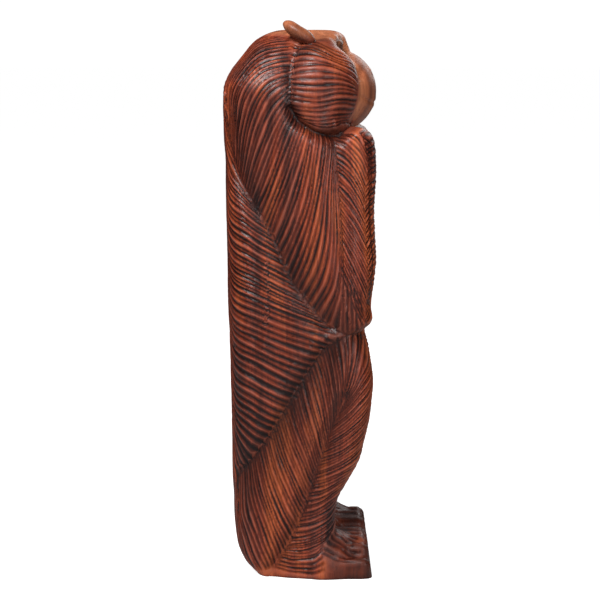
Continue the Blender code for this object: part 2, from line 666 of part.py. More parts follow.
def carve():
    collection = bpy.data.collections.new(COLLECTION_NAME)
    bpy.context.scene.collection.children.link(collection)
    item = rough_block(collection)
    to_log = 1.0 / UNIT
    for cell, passes in ((ROUGH_CELL, 6), (0.6 * ROUGH_CELL, 4), (CARVED_CELL, 2), (CARVED_CELL, 2)):
        apply_modifier(item, "REMESH", mode="VOXEL", voxel_size=cell * to_log)
        for _ in range(passes):
            set_points(item.data, settle(get_points(item.data), 2, 0.7 * cell * to_log))
            apply_modifier(item, "SMOOTH", factor=0.5, iterations=2)
        set_points(item.data, settle(get_points(item.data), 2, 0.7 * cell * to_log))
    points = get_points(item.data)
    depth = groove_depth(points, LOCK_PITCH * to_log, LOCK_DEPTH * to_log)
    depth = even_out(item.data, depth, CARVING_PASSES)
    gradient = slope(points)
    normal = gradient / np.maximum(np.linalg.norm(gradient, axis=1), 1e-6)[:, None]
    set_points(item.data, points - normal * depth[:, None])
    saw_underside(item)
    return item


def thin_out(item):
    """Collapse edges until the solid has its number of facets, and flatten the underside again."""
    facets = sum(len(face.vertices) - 2 for face in item.data.polygons)
    apply_modifier(item, "DECIMATE", ratio=TRIANGLES / facets, use_collapse_triangulate=True)
    points = get_points(item.data)
    points[np.abs(points[:, 2]) < FLAT_TOLERANCE, 2] = 0.0
    set_points(item.data, points)


def bring_to_size(item):
    """Scale from log units to metres and stand the middle of the underside on the origin."""
    points = get_points(item.data)
    low, high = points.min(axis=0), points.max(axis=0)
    points = points - np.array((0.5 * (low[0] + high[0]), 0.5 * (low[1] + high[1]), low[2]))
    scale = np.array((WIDTH, DEPTH, HEIGHT)) / (high - low)
    set_points(item.data, points * scale)


def wood_material():
    """Oiled red-brown hardwood."""
    material = bpy.data.materials.new("oiled hardwood")
    material.use_nodes = True
    shader = material.node_tree.nodes["Principled BSDF"]
    shader.inputs["Base Color"].default_value = (0.205, 0.052, 0.022, 1.0)
    shader.inputs["Roughness"].default_value = 0.42
    shader.inputs["Metallic"].default_value = 0.0
    return material


def main():
    clear_scene()
    item = carve()
    thin_out(item)
    bring_to_size(item)
    item.data.materials.append(wood_material())


main()
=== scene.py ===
"""Carved wooden monkey: the finished surface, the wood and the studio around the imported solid.

The surface is worked out in log units, a frame in which the log is 150 wide, 138 deep and 500 high.
It starts from the solid, takes its fine locks of fur and its face, fingers and toes, and is then
brought to the solid's own box.
"""
import math

import bmesh
import bpy
import numpy as np
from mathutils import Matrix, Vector, noise
from mathutils.kdtree import KDTree


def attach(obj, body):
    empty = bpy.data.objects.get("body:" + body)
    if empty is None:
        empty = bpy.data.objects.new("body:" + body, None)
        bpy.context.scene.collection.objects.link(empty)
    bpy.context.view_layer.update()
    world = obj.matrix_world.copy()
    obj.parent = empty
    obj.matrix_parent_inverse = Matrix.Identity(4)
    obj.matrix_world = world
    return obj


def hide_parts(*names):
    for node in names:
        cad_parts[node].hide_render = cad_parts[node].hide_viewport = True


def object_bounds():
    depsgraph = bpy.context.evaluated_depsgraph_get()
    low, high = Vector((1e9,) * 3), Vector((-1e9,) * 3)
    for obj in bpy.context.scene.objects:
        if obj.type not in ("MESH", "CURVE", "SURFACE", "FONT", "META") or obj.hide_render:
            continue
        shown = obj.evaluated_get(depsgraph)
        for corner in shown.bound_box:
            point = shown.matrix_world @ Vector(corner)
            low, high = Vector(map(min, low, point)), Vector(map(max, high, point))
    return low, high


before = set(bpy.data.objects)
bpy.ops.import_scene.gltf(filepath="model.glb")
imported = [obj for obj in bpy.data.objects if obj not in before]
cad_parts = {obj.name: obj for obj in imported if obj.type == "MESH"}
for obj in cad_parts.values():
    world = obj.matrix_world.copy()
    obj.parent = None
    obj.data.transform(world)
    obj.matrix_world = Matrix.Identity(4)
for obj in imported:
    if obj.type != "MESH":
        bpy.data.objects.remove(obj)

CAD_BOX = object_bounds()
NODE = "carved_monkey"
X, Y, Z = 0, 1, 2         # which number of a point is which

# The frame of log units.
LOG_HEIGHT = 500.0
UNIT = (CAD_BOX[1][2] - CAD_BOX[0][2]) / LOG_HEIGHT
SAW_MARGIN = 14.0         # how far the shape runs on below the underside, before it is sawn off
FLAT_TOLERANCE = 0.6      # points this close to the underside belong to it

# Resolution, in log units.
MIDDLE_CELL = 1.55        # the last cell is half of this
PASSES = ((2.1, 2), (MIDDLE_CELL, 1))     # cell size and how often the surface is evened out
GENTLEST = 0.04           # square of the gentlest slope that settling on the form reckons with
TRIANGLES = 197000

# Fur, in log units.
LINE_STEP = 0.7           # spacing of the points along a groove
STATIONS = 48             # places along a groove where its wander is set
JITTER = 0.18             # how uneven the grooves' spacing is, as a share of it
WANDER = 0.16             # how far a groove strays to its sides, as a share of the spacing
START_RUN, END_RUN = 4.0, 2.5             # how far a comb's grooves run on past its guides
END_TAPER = 3.5           # length over which a groove runs out at each end
RISE = 0.5                # how far the crests of the locks stand proud of the plain form
END_STRENGTH = 0.5        # how deep a groove still is at its very ends, as a share of its depth
EVEN_DEPTH, DEPTH_WAVER = 0.82, 0.18      # a groove's depth along it, and how much that changes
LINE_STRENGTH = (0.75, 1.1)               # how deep whole grooves are, as shares of the comb's depth
SMALLEST_GAP = 0.9        # least half gap between neighbouring grooves
SEAM_GAP = 2.4            # half width of the crease along a seam
SEED = 7

# What the wood's colours go by, with the painted shade in the grooves.
FULL_DEPTH = 1.6          # a groove this deep gets the full painted shade
PLAIN_DARKNESS = 0.15     # bare wood without fur gets this share of a full groove's painted shade, and less painted crest highlight
FUR_ENDS = (2.6, 4.6)     # distances from the last groove between which the wood turns bare

# Side profile: height, half width, front of the arms and legs, front of the body behind them, back.
PROFILE = (
    (-20, 70, -31, -16, 30),
    (0, 71, -32, -16, 41.6),
    (10, 72, -32.5, -16, 50.8),
    (20, 72.5, -33, -16, 56.3),
    (40, 73, -33, -18, 60),
    (58, 73.5, -33.2, -21, 61),
    (68, 73.5, -34.9, -23, 61),
    (87, 74, -44.8, -28, 62.2),
    (106, 74, -54.8, -33, 62.4),
    (125, 74.5, -59.6, -38, 62.4),
    (143, 75, -63.6, -42, 62.7),
    (162, 75, -65.8, -45, 62.9),
    (180, 75, -67.2, -47, 63.3),
    (199, 75, -65.6, -49, 63.5),
    (212, 75, -64, -50, 64),
    (219, 74.6, -62.6, -50, 64),
    (226.5, 74.3, -60.8, -50, 64.2),
    (231.5, 74.6, -65.4, -50, 64.6),
    (236, 74.8, -66.6, -50, 64.8),
    (246, 74.8, -65.2, -50, 65.2),
    (272, 74.6, -67.4, -50, 65.4),
    (290, 74.6, -68.8, -50, 65.4),
    (310, 74.6, -67.8, -50, 65.8),
    (335, 74.6, -66.8, -50, 66.2),
    (362, 74.6, -68.2, -50, 66.4),
    (380, 74.6, -68, -49, 66.4),
    (396, 74.4, -66, -47, 67.6),
    (404, 74.2, -63, -45, 67.8),
    (409, 74, -57.5, -44, 67.9),
    (413, 73.8, -49, -43, 68),
    (430, 73, -46, -41, 68.3),
    (445, 71, -46, -41, 67),
    (457, 66, -46, -41, 61),
    (466, 60, -46, -40.5, 54),
    (473, 53, -46, -40, 48.4),
    (480, 43, -46, -38.5, 42.4),
    (485, 33, -46, -36, 36),
    (489, 22, -46, -33, 27.5),
    (496, 10, -46, -24, 8),
)
PROFILE_TOP, CROWN_SOFT = 491.6, 4.0      # the crown is cut flat here, with a soft edge
SQUARENESS_LOW, SQUARENESS_HEAD = 4.2, 2.9            # how square the log is in plan
HEAD_STARTS, HEAD_WHOLE = 425.0, 465.0
COLUMN_FILLET = 8.0       # where the arm and leg columns meet the body
COLUMN_THICKNESS = 21.0
LEG_THICKENS = (50, 120, 4.5)             # heights between which it happens, and by how much
ARM_THINS = (290, 400, 2)
COLUMN_ACROSS = 47.0
KNEES_GO_OUT = (120, 180, 2.5)
WRISTS_GO_IN = (250, 400, 5)
COLUMN_TOP, COLUMN_TOP_SOFT = 407.0, 12.0
SIDE_STARTS, SIDE_WHOLE = 36.0, 60.0      # the side carving runs out towards the front and back

# Heights between which each region's shapes reach.
HEAD_REGION = (384, 520)
HAND_REGION = (318, 424)
FOOT_REGION = (-40, 62)

# Main masses on the half at +X: middle and half sizes.
RUFF = ((35.5, -15.5, 441), (38.5, 37, 41.5))
MUZZLE = ((0, -34, 438), (42, 35.6, 36.4))
EYE_SOCKET = ((21, -39, 476.6), (12, 10, 7.8))
EYEBALL = ((20, -31.6, 476.2), (8.4, 6.8, 5.6))
PUPIL = ((19.6, -38.4, 476.2), (2.6, 6, 2.6))
NOSTRIL = ((6.8, -64, 452.3), (3, 6, 2))
NOSE_WING = ((9.6, -62.5, 456.4), (4.6, 6, 4))
CHEEK_PIT = ((28.5, -53, 453), (4, 6, 5))
EAR = ((44.5, 0.4, 489.4), (9.5, 15.8, 6.2))
EAR_TILT, EAR_YAW = 32.0, 8.0
EAR_HOLLOW = ((41.6, -4, 494.5), (5.4, 9, 3.6))
FIST = ((13, -44, 372), (22, 20, 31))
INSTEP = ((43, -22, 2), (31, 36, 37))
FUR_BETWEEN_FEET = ((0, -12, 0), (22, 34, 44))

# Bars and cuts on the half at +X: points and thicknesses.
BROW = ((0, -32.5, 482.8), (14, -32.5, 482.8), (27, -29.5, 482), (38, -23.5, 478), (45, -17, 471))
BROW_THICKNESS = (6.2, 5.4, 5.2, 5.2, 5)
BRIDGE = ((0, -35.5, 482), (0, -38.5, 473.5))
BRIDGE_THICKNESS = (6.6, 7)
UPPER_LID = (
    (10.6, -34.6, 475.4), (14.6, -36.8, 480), (20.2, -37.4, 481.8),
    (26, -34.8, 479.8), (29.8, -31, 475.2),
)
LOWER_LID = (
    (10.6, -34.6, 475.4), (15, -37.2, 471.6), (20.4, -37.8, 470.4),
    (25.8, -35.4, 471.6), (29.8, -31, 475.2),
)
LID_THICKNESS = 1.8
MOUTH = ((0, -69, 428), (14, -67, 427), (27, -61, 430), (37, -50, 437))
LIP_HEIGHT = 3.6
PHILTRUM = ((0, -68.5, 448.5), (0, -69.5, 432))
NOSE_FOLD = ((9, -63, 462), (20, -58.5, 458.5), (29, -53, 453), (36, -49, 441))
WRIST = ((40, -46, 383), (22, -48, 374))
WRIST_THICKNESS = (20, 19)

# Size of the fillet with which each joins the rest.
RUFF_FILLET, MUZZLE_FILLET, BROW_FILLET, BRIDGE_FILLET = 4.0, 5.0, 6.0, 3.0
EYEBALL_FILLET, LID_FILLET, EAR_FILLET = 2.0, 2.6, 1.6
BROW_BEND, LID_BEND, LINE_BEND = 4.0, 1.0, 0.5        # at the corners of a bar or a cut
WRIST_FILLET, FIST_FILLET, THUMB_FILLET, FINGER_FILLET = 8.0, 3.0, 4.0, 1.8
INSTEP_FILLET, FOOT_FILLET, TOE_FILLET, FEET_FUR_FILLET = 3.0, 5.0, 1.4, 8.0
UNDERSIDE_SOFT = 1.0

# Cuts and hollows in the head: which, and how deep; below 0 is a swelling.
EYE_SOCKET_DEPTH = 7.0
EAR_HOLLOW_DEPTH = 3.0
FACE_HOLLOWS = ((NOSTRIL, 4.6), (NOSE_WING, -0.9), (CHEEK_PIT, 2.8))
FACE_LINES = (            # each line, how far it is raised, its width and its depth
    (MOUTH, 0, 1.1, 1.2), (MOUTH, LIP_HEIGHT, 2.6, -0.4), (MOUTH, -LIP_HEIGHT, 2.8, -0.5),
    (PHILTRUM, 0, 1.8, 0.8), (NOSE_FOLD, 0, 2.6, 1.6),
)

# Fingers of a fist, from the top down: height of the middle and thickness.
FINGERS = ((385.3, 6.5), (372.4, 6.6), (359.6, 6.4), (347.6, 5.9))
THUMB = ((22, -50.5, 393.5), (18, 12.5, 9.5))         # middle and half sizes
FINGER_OUTER = (25, -59.3, 2.2)           # across, forward, and up from the finger's height
FINGER_INNER = (6.7, -62, -0.6)
FINGER_TAPER = 0.93
KNUCKLE_ACROSS, KNUCKLE_WIDTH, KNUCKLE_DEPTH = 16.0, 1.9, 0.8
KNUCKLE_FRONT = (-52, -60)                # the line of the knuckles sets in between these

# Toes, from the little toe in: across, thickness and top; and the foot behind them.
TOES = ((66, 5.6, 17), (54.6, 5.9, 27.5), (42.8, 6, 31), (30.8, 6.1, 31), (17.6, 7.2, 30))
TOE_TOP, LITTLE_TOE_TOP = 29.5, 12.5
FOOT_FALLS = (46, 72)
FOOT_ACROSS = (15.5, 65.5)
FOOT_ALONG = (-20, -56)
FOOT_ROUNDING = 7.0
TOE_FRONT = -66.4
TOE_BACK = -34.0
TOE_LEAN = 0.13           # how far a toe's front leans back for each unit up
NAIL_WIDTH, NAIL_HEIGHT = 0.66, 4.4       # of a toe's thickness, and up the front of the toe
NAIL_REACH, NAIL_BELOW_TOP = 9.0, 5.4
NAIL_LINE, NAIL_DEPTH = 0.16, 0.7         # width of the line round a nail, as a share of it, and depth

# Seams of the side carving, as (y, z) in the side view. Going along a seam, its left side comes first.
ARM_BACK = (
    (63, 412), (62, 402), (55.5, 376), (48, 358), (33, 332),
    (19, 306), (9, 279), (-9, 253), (-26, 233), (-42, 226),
)
THIGH_TOP = ((56, 88), (34, 119), (13, 153), (0, 176), (-22, 210), (-42, 224), (-58, 227), (-74, 227))
FOREARM = ((-31, 402), (-32, 374), (-35, 348), (-36, 328), (-35, 302), (-37, 267), (-41, 252), (-46, 235))
CALF = ((-39, 168), (-30, 147), (-24, 130), (-18, 106), (-7, 77), (1, 52), (12, 29), (24, 8))
JAW = ((2, 478), (6, 466), (8, 449), (8.5, 432), (8, 424), (0, 412.5))
UNDER_RUFF = ((8, 424), (0, 412.5), (-13, 404), (-24, 400.5), (-35, 400), (-46, 410))
SEAMS = ((ARM_BACK, 1.1), (THIGH_TOP, 1.3), (FOREARM, 0.6), (CALF, 0.6), (UNDER_RUFF, 1.6))

# Valleys along the seams: depth, and how far each runs out to its left and its right.
SIDE_VALLEYS = ((ARM_BACK, 5.5, 8, 24), (THIGH_TOP, 5.5, 24, 8), (FOREARM, 2.6, 8, 6), (CALF, 3.6, 8, 10))
JAW_VALLEY = (JAW, 2.2, 4, 4)
RUFF_VALLEY = (UNDER_RUFF, 5.5, 4.5, 4)
SIDE_FLOOR, RUFF_FLOOR = 1.5, 0.8         # half width of a valley's floor
VALLEY_STEEPNESS = 1.3
RUFF_STARTS, RUFF_WHOLE = 42.0, 62.0      # the valleys round the ruff run out towards the face

# Chipped places left by the gouge, as (y, z) in the side view.
CHIPPED = (((2, 474), (6, 462), (8, 446), (8, 432)), ((29, 290), (27, 262), (30, 236)))
CHIPPED_WIDTH = 2.6
CHIPPED_FROM = 40.0       # only on the sides, this far from the middle
CHIP_DEPTH = 0.6
CHIP_SCALE = 0.7          # flecks to the unit of length
LEAST_CHIPPED = 0.05      # places chipped less than this are left alone
PITS, RIDGES = (-0.1, 0.35), (0, 0.4)     # ranges of noise that make them
RIDGE_SHARE = 0.6         # height of the ridges, as a share of the pits' depth
RIDGE_WEAR = 2.0          # how worn a ridge is for each unit of its height

# Bare places on the half at +X: how bare, and for each edge its axis, where it starts and where it is whole.
BARE_PLACES = (
    (1.0, ((Z, 402, 410), (Y, -4, -14), (X, 46, 38))),    # face
    (1.0, ((Z, 482, 489),)),                              # crown, in the lighter bare-wood colours, which partly stand in for light from above
    (0.15, ((Z, 487, 490), (X, 33, 37), (Y, 22, 18))),    # ear
    (0.7, ((Z, 332, 340), (Z, 408, 404), (Y, -50, -54), (X, 33, 27))),      # fist
)

# Places painted darker on the half at +X: middle, half sizes and how dark; 1 is as dark as they get.
DARKER_PLACES = (
    # painted shade in the eye socket and the cheek pit, and a pupil painted dark with no hole carved
    (*EYE_SOCKET, 1.8),
    (*CHEEK_PIT, 0.6),
    (*PUPIL, 1),
    ((50, -16, 476), (24, 18, 7), 0.7),       # temple
    ((62, -14, 442), (30, 40, 40), 0.45),     # cheek ruff
    ((46, 0, 489), (12, 18, 8), 0.8),         # ear
    ((64, -49, 14), (30, 4, 22), 0.5),        # streaks on the foot
    ((64, -64, 14), (30, 5, 22), 0.4),
    ((60, 25, 230), (60, 50, 60), 0.3),       # lower part of the cape
    ((60, -15, 120), (60, 40, 80), 0.3),      # leg
)
# the front of the foot, low down, is painted darker
FOOT_DARKENING, FOOT_EDGES = 0.75, ((Z, 44, 32), (Y, -14, -30))
VALLEY_SHADE, VALLEY_DEPTH = 0.8, 5.5     # painted shade deep in the seams' valleys; a valley this deep has the whole of it
# painted shadow under the cheek ruff
UNDER_RUFF_SHADOW = (UNDER_RUFF, 5.5, 4.5, 9)


# Shapes, each as a distance that is negative inside.
def smooth_curve(at, knots, values):
    """Values along a smooth curve through the knots; the values may be numbers or points."""
    slopes = np.gradient(values, knots, axis=0)
    at = np.clip(at, knots[0], knots[-1])
    index = np.clip(np.searchsorted(knots, at) - 1, 0, len(knots) - 2)
    span = knots[index + 1] - knots[index]
    t = (at - knots[index]) / span
    if values.ndim > 1:
        span, t = span[:, None], t[:, None]
    low = values[index] * (1 + 2 * t) * (1 - t) ** 2 + slopes[index] * span * t * (1 - t) ** 2
    high = values[index + 1] * t * t * (3 - 2 * t) - slopes[index + 1] * span * t * t * (1 - t)
    return low + high


def smooth_table(at, table, column):
    """Read one column of a table at the given heights, as a smooth curve through its rows."""
    rows = np.array(table)
    return smooth_curve(at, rows[:, 0], rows[:, column])


def ramp(value, low, high):
    """Smooth step from 0 at low to 1 at high."""
    t = np.clip((value - low) / (high - low), 0.0, 1.0)
    return t * t * (3.0 - 2.0 * t)


def blend(a, b, soft):
    """Union of two shapes with a fillet of about the given size."""
    h = np.clip(0.5 + 0.5 * (b - a) / soft, 0.0, 1.0)
    return b + (a - b) * h - soft * h * (1.0 - h)


def cut(a, b, soft):
    """Shape a with shape b taken out, with a soft edge."""
    return -blend(-a, b, soft)


def ellipsoid(p, centre, radii):
    q = (p - np.array(centre)) / np.array(radii)
    near = np.linalg.norm(q, axis=1)
    steep = np.linalg.norm(q / np.array(radii), axis=1)
    return near * (near - 1.0) / np.maximum(steep, 1e-6)


def turned_ellipsoid(p, centre, radii, tilt, yaw):
    """Ellipsoid whose long axis is tipped up about X by tilt degrees, then turned about Z by yaw."""
    q = p - np.array(centre)
    c, s = math.cos(math.radians(yaw)), math.sin(math.radians(yaw))
    q = np.column_stack((c * q[:, X] + s * q[:, Y], -s * q[:, X] + c * q[:, Y], q[:, Z]))
    c, s = math.cos(math.radians(tilt)), math.sin(math.radians(tilt))
    q = np.column_stack((q[:, X], c * q[:, Y] + s * q[:, Z], -s * q[:, Y] + c * q[:, Z]))
    return ellipsoid(q, (0.0, 0.0, 0.0), radii)


def limb(p, start, end, start_radius, end_radius):
    """Round bar from start to end, thicker at one end."""
    a, b = np.array(start, float), np.array(end, float)
    along = b - a
    t = np.clip((p - a) @ along / (along @ along), 0.0, 1.0)
    radius = start_radius + (end_radius - start_radius) * t
    return np.linalg.norm(p - a - t[:, None] * along, axis=1) - radius


def chain(p, points, radii, soft):
    """Limbs end to end through a list of points."""
    shape = limb(p, points[0], points[1], radii[0], radii[1])
    for i in range(1, len(points) - 1):
        shape = blend(shape, limb(p, points[i], points[i + 1], radii[i], radii[i + 1]), soft)
    return shape


def side_distance(p, path):
    """Distance in the side view from a path of (y, z) points, and which side of the path a point is on."""
    q = p[:, 1:3]
    nearest = np.full(len(p), 1e9)
    sign = np.ones(len(p))
    for a, b in zip(path[:-1], path[1:]):
        a, b = np.array(a, float), np.array(b, float)
        along = b - a
        t = np.clip((q - a) @ along / (along @ along), 0.0, 1.0)
        away = q - a - t[:, None] * along
        distance = np.hypot(away[:, 0], away[:, 1])
        closer = distance < nearest
        nearest = np.where(closer, distance, nearest)
        turn = along[0] * away[:, 1] - along[1] * away[:, 0]
        sign = np.where(closer, np.sign(turn), sign)
    return nearest, sign


def valley(p, path, depth, left_width, right_width, floor_width=SIDE_FLOOR):
    """Depth of a carved valley along a seam, with its own run-out on each side."""
    distance, sign = side_distance(p, path)
    width = np.where(sign > 0, left_width, right_width)
    return depth * np.exp(-(np.maximum(distance - floor_width, 0.0) / width) ** VALLEY_STEEPNESS)


def side_relief(p):
    """How deep the flat sides of the log are carved at each point."""
    return np.maximum.reduce([valley(p, *row) for row in SIDE_VALLEYS])


def log_shape(p):
    """The carved log with back, head and body, and the arms and legs as columns in front."""
    z = p[:, Z]
    half = smooth_table(z, PROFILE, 1)
    front = smooth_table(z, PROFILE, 3)
    back = smooth_table(z, PROFILE, 4)
    middle = 0.5 * (front + back)
    reach = 0.5 * (back - front)
    head = ramp(z, HEAD_STARTS, HEAD_WHOLE)
    power = SQUARENESS_LOW + (SQUARENESS_HEAD - SQUARENESS_LOW) * head
    u = np.abs(p[:, X]) / half
    v = np.abs(p[:, Y] - middle) / reach
    ring = (u ** power + v ** power) ** (1.0 / power)
    shape = (ring - 1.0) * np.minimum(half, reach)
    shape = cut(shape, PROFILE_TOP - z, CROWN_SOFT)
    shape = blend(shape, limb_column(p), COLUMN_FILLET)
    return shape + side_relief(p) * ramp(p[:, X], SIDE_STARTS, SIDE_WHOLE)


def change(z, low, high, amount):
    """Something that changes by the given amount between two heights."""
    return amount * ramp(z, low, high)


def limb_column(p):
    """Forearm above and shin below, as one round column that follows the front of the side profile."""
    z = p[:, Z]
    thick = COLUMN_THICKNESS + change(z, *LEG_THICKENS) - change(z, *ARM_THINS)
    across = COLUMN_ACROSS + change(z, *KNEES_GO_OUT) - change(z, *WRISTS_GO_IN)
    middle = smooth_table(z, PROFILE, 2) + thick
    column = np.hypot(p[:, X] - across, p[:, Y] - middle) - thick
    return cut(column, COLUMN_TOP - z, COLUMN_TOP_SOFT)


def dent(p, centre, radii, depth):
    """Soft hollow of the given depth around a centre, or a soft swelling where the depth is negative."""
    q = (p - np.array(centre)) / np.array(radii)
    return depth * np.exp(-(q * q).sum(axis=1))


def ring_cut(p, centre, radii, width, depth):
    """Depth of a thin groove round an oval."""
    q = (p - np.array(centre)) / np.array(radii)
    return depth * np.exp(-((np.linalg.norm(q, axis=1) - 1.0) / width) ** 2)


def raised(points, rise):
    return [(x, y, z + rise) for x, y, z in points]


def line_cut(p, points, rise, width, depth):
    """Depth of a carved line through a few points, which are raised a little first."""
    distance = chain(p, raised(points, rise), [0.0] * len(points), LINE_BEND)
    return depth * np.exp(-(distance / width) ** 2)


def head_shape(p, body):
    """Cheek ruffs, muzzle, brow, eyes, nose and ears added to the body, and the face's lines cut in."""
    body = blend(body, ellipsoid(p, *RUFF), RUFF_FILLET)
    ruff_edge = np.maximum(valley(p, *JAW_VALLEY, RUFF_FLOOR), valley(p, *RUFF_VALLEY, RUFF_FLOOR))
    body = body + ruff_edge * ramp(p[:, X], RUFF_STARTS, RUFF_WHOLE)
    body = blend(body, ellipsoid(p, *MUZZLE), MUZZLE_FILLET)
    body = blend(body, chain(p, BROW, BROW_THICKNESS, BROW_BEND), BROW_FILLET)
    body = blend(body, limb(p, *BRIDGE, *BRIDGE_THICKNESS), BRIDGE_FILLET)
    body = body + dent(p, *EYE_SOCKET, EYE_SOCKET_DEPTH) + face_relief(p)
    body = blend(body, ellipsoid(p, *EYEBALL), EYEBALL_FILLET)
    for lid in (UPPER_LID, LOWER_LID):
        body = blend(body, chain(p, lid, [LID_THICKNESS] * len(lid), LID_BEND), LID_FILLET)
    ear = turned_ellipsoid(p, *EAR, EAR_TILT, EAR_YAW) + dent(p, *EAR_HOLLOW, EAR_HOLLOW_DEPTH)
    return blend(body, ear, EAR_FILLET)


def face_relief(p):
    """How deep the nose, mouth and folds of skin are cut into the face."""
    depth = sum(line_cut(p, *row) for row in FACE_LINES)
    for hollow, hollow_depth in FACE_HOLLOWS:
        depth = depth + dent(p, *hollow, hollow_depth)
    return depth


def hand_shape(p, body):
    """Fist under the chin with its wrist, thumb and fingers, added to the body."""
    wrist = limb(p, *WRIST, *WRIST_THICKNESS)
    body = blend(body, blend(wrist, ellipsoid(p, *FIST), WRIST_FILLET), FIST_FILLET)
    body = blend(body, ellipsoid(p, *THUMB), THUMB_FILLET)
    for height, thickness in FINGERS:
        ends = raised((FINGER_OUTER, FINGER_INNER), height)
        body = blend(body, limb(p, *ends, thickness, FINGER_TAPER * thickness), FINGER_FILLET)
    on_fingers = ramp(p[:, Y], *KNUCKLE_FRONT)
    line = np.exp(-((p[:, X] - KNUCKLE_ACROSS) / KNUCKLE_WIDTH) ** 2)
    return body + on_fingers * KNUCKLE_DEPTH * line


def toe(p, across, radius, top):
    """Toe with a round top and front, straight down to the ground."""
    q = p.copy()
    q[:, X] -= across
    leaned = p[:, Y] - TOE_LEAN * p[:, Z]
    q[:, Y] = leaned - np.clip(leaned, TOE_FRONT + radius, TOE_BACK)
    q[:, Z] = np.maximum(p[:, Z] - top + radius, 0.0)
    return np.linalg.norm(q, axis=1) - radius


def foot_shape(p, body):
    """Foot flush with the front of the log, with five toes and their nails, added to the body."""
    body = blend(body, ellipsoid(p, *INSTEP), INSTEP_FILLET)
    top = TOE_TOP - (TOE_TOP - LITTLE_TOE_TOP) * ramp(p[:, X], *FOOT_FALLS)
    q = p.copy()
    q[:, X] -= np.clip(p[:, X], *FOOT_ACROSS)
    q[:, Y] -= np.clip(p[:, Y], *FOOT_ALONG[::-1])
    q[:, Z] = np.maximum(p[:, Z] - top + FOOT_ROUNDING, 0.0)
    body = blend(body, np.linalg.norm(q, axis=1) - FOOT_ROUNDING, FOOT_FILLET)
    for across, radius, top in TOES:
        body = blend(body, toe(p, across, radius, top), TOE_FILLET)
        nail = (across, TOE_FRONT + TOE_LEAN * top, top - NAIL_BELOW_TOP)
        body = body + ring_cut(p, nail, (NAIL_WIDTH * radius, NAIL_REACH, NAIL_HEIGHT), NAIL_LINE, NAIL_DEPTH)
    return body


def on_one_half(points):
    """The points with those of the half at -X brought over to +X."""
    p = points.copy()
    p[:, X] = np.abs(p[:, X])
    return p


def within(p, region):
    return (p[:, Z] > region[0]) & (p[:, Z] < region[1])


def form(points):
    """The whole figure as a distance, both halves alike."""
    p = on_one_half(points)
    body = log_shape(p)
    for region, add in ((HAND_REGION, hand_shape), (HEAD_REGION, head_shape)):
        here = within(p, region)
        body[here] = add(p[here], body[here])
    here = within(p, FOOT_REGION)
    q = p[here]
    body[here] = foot_shape(q, blend(body[here], ellipsoid(q, *FUR_BETWEEN_FEET), FEET_FUR_FILLET))
    return cut(body, p[:, Z] + SAW_MARGIN, UNDERSIDE_SOFT)


def slope(points, step=0.4):
    """Gradient of the form at each point, from its values at the corners of a small tetrahedron."""
    result = np.zeros_like(points)
    for corner in ((1, 1, 1), (1, -1, -1), (-1, 1, -1), (-1, -1, 1)):
        direction = np.array(corner, float)
        result += form(points + step * direction)[:, None] * direction
    return result / (4 * step)


def settle(points, rounds, longest_step):
    """Move points along the slope until they lie on the surface of the form."""
    for _ in range(rounds):
        gradient = slope(points)
        steep = np.maximum((gradient ** 2).sum(axis=1), GENTLEST)
        move = -(form(points) / steep)[:, None] * gradient
        size = np.linalg.norm(move, axis=1)
        move *= np.minimum(1.0, longest_step / np.maximum(size, 1e-9))[:, None]
        points = points + move
    return points


# Locks of fur: combs of grooves between guides that are drawn near the surface, on the half at +X.
VIEW_DISTANCE = 90.0      # well outside the log


def on_side(*places):
    return [(VIEW_DISTANCE, y, z) for y, z in places]


def on_back(*places):
    return [(x, VIEW_DISTANCE, z) for x, z in places]


def on_front(*places):
    return [(x, -VIEW_DISTANCE, z) for x, z in places]


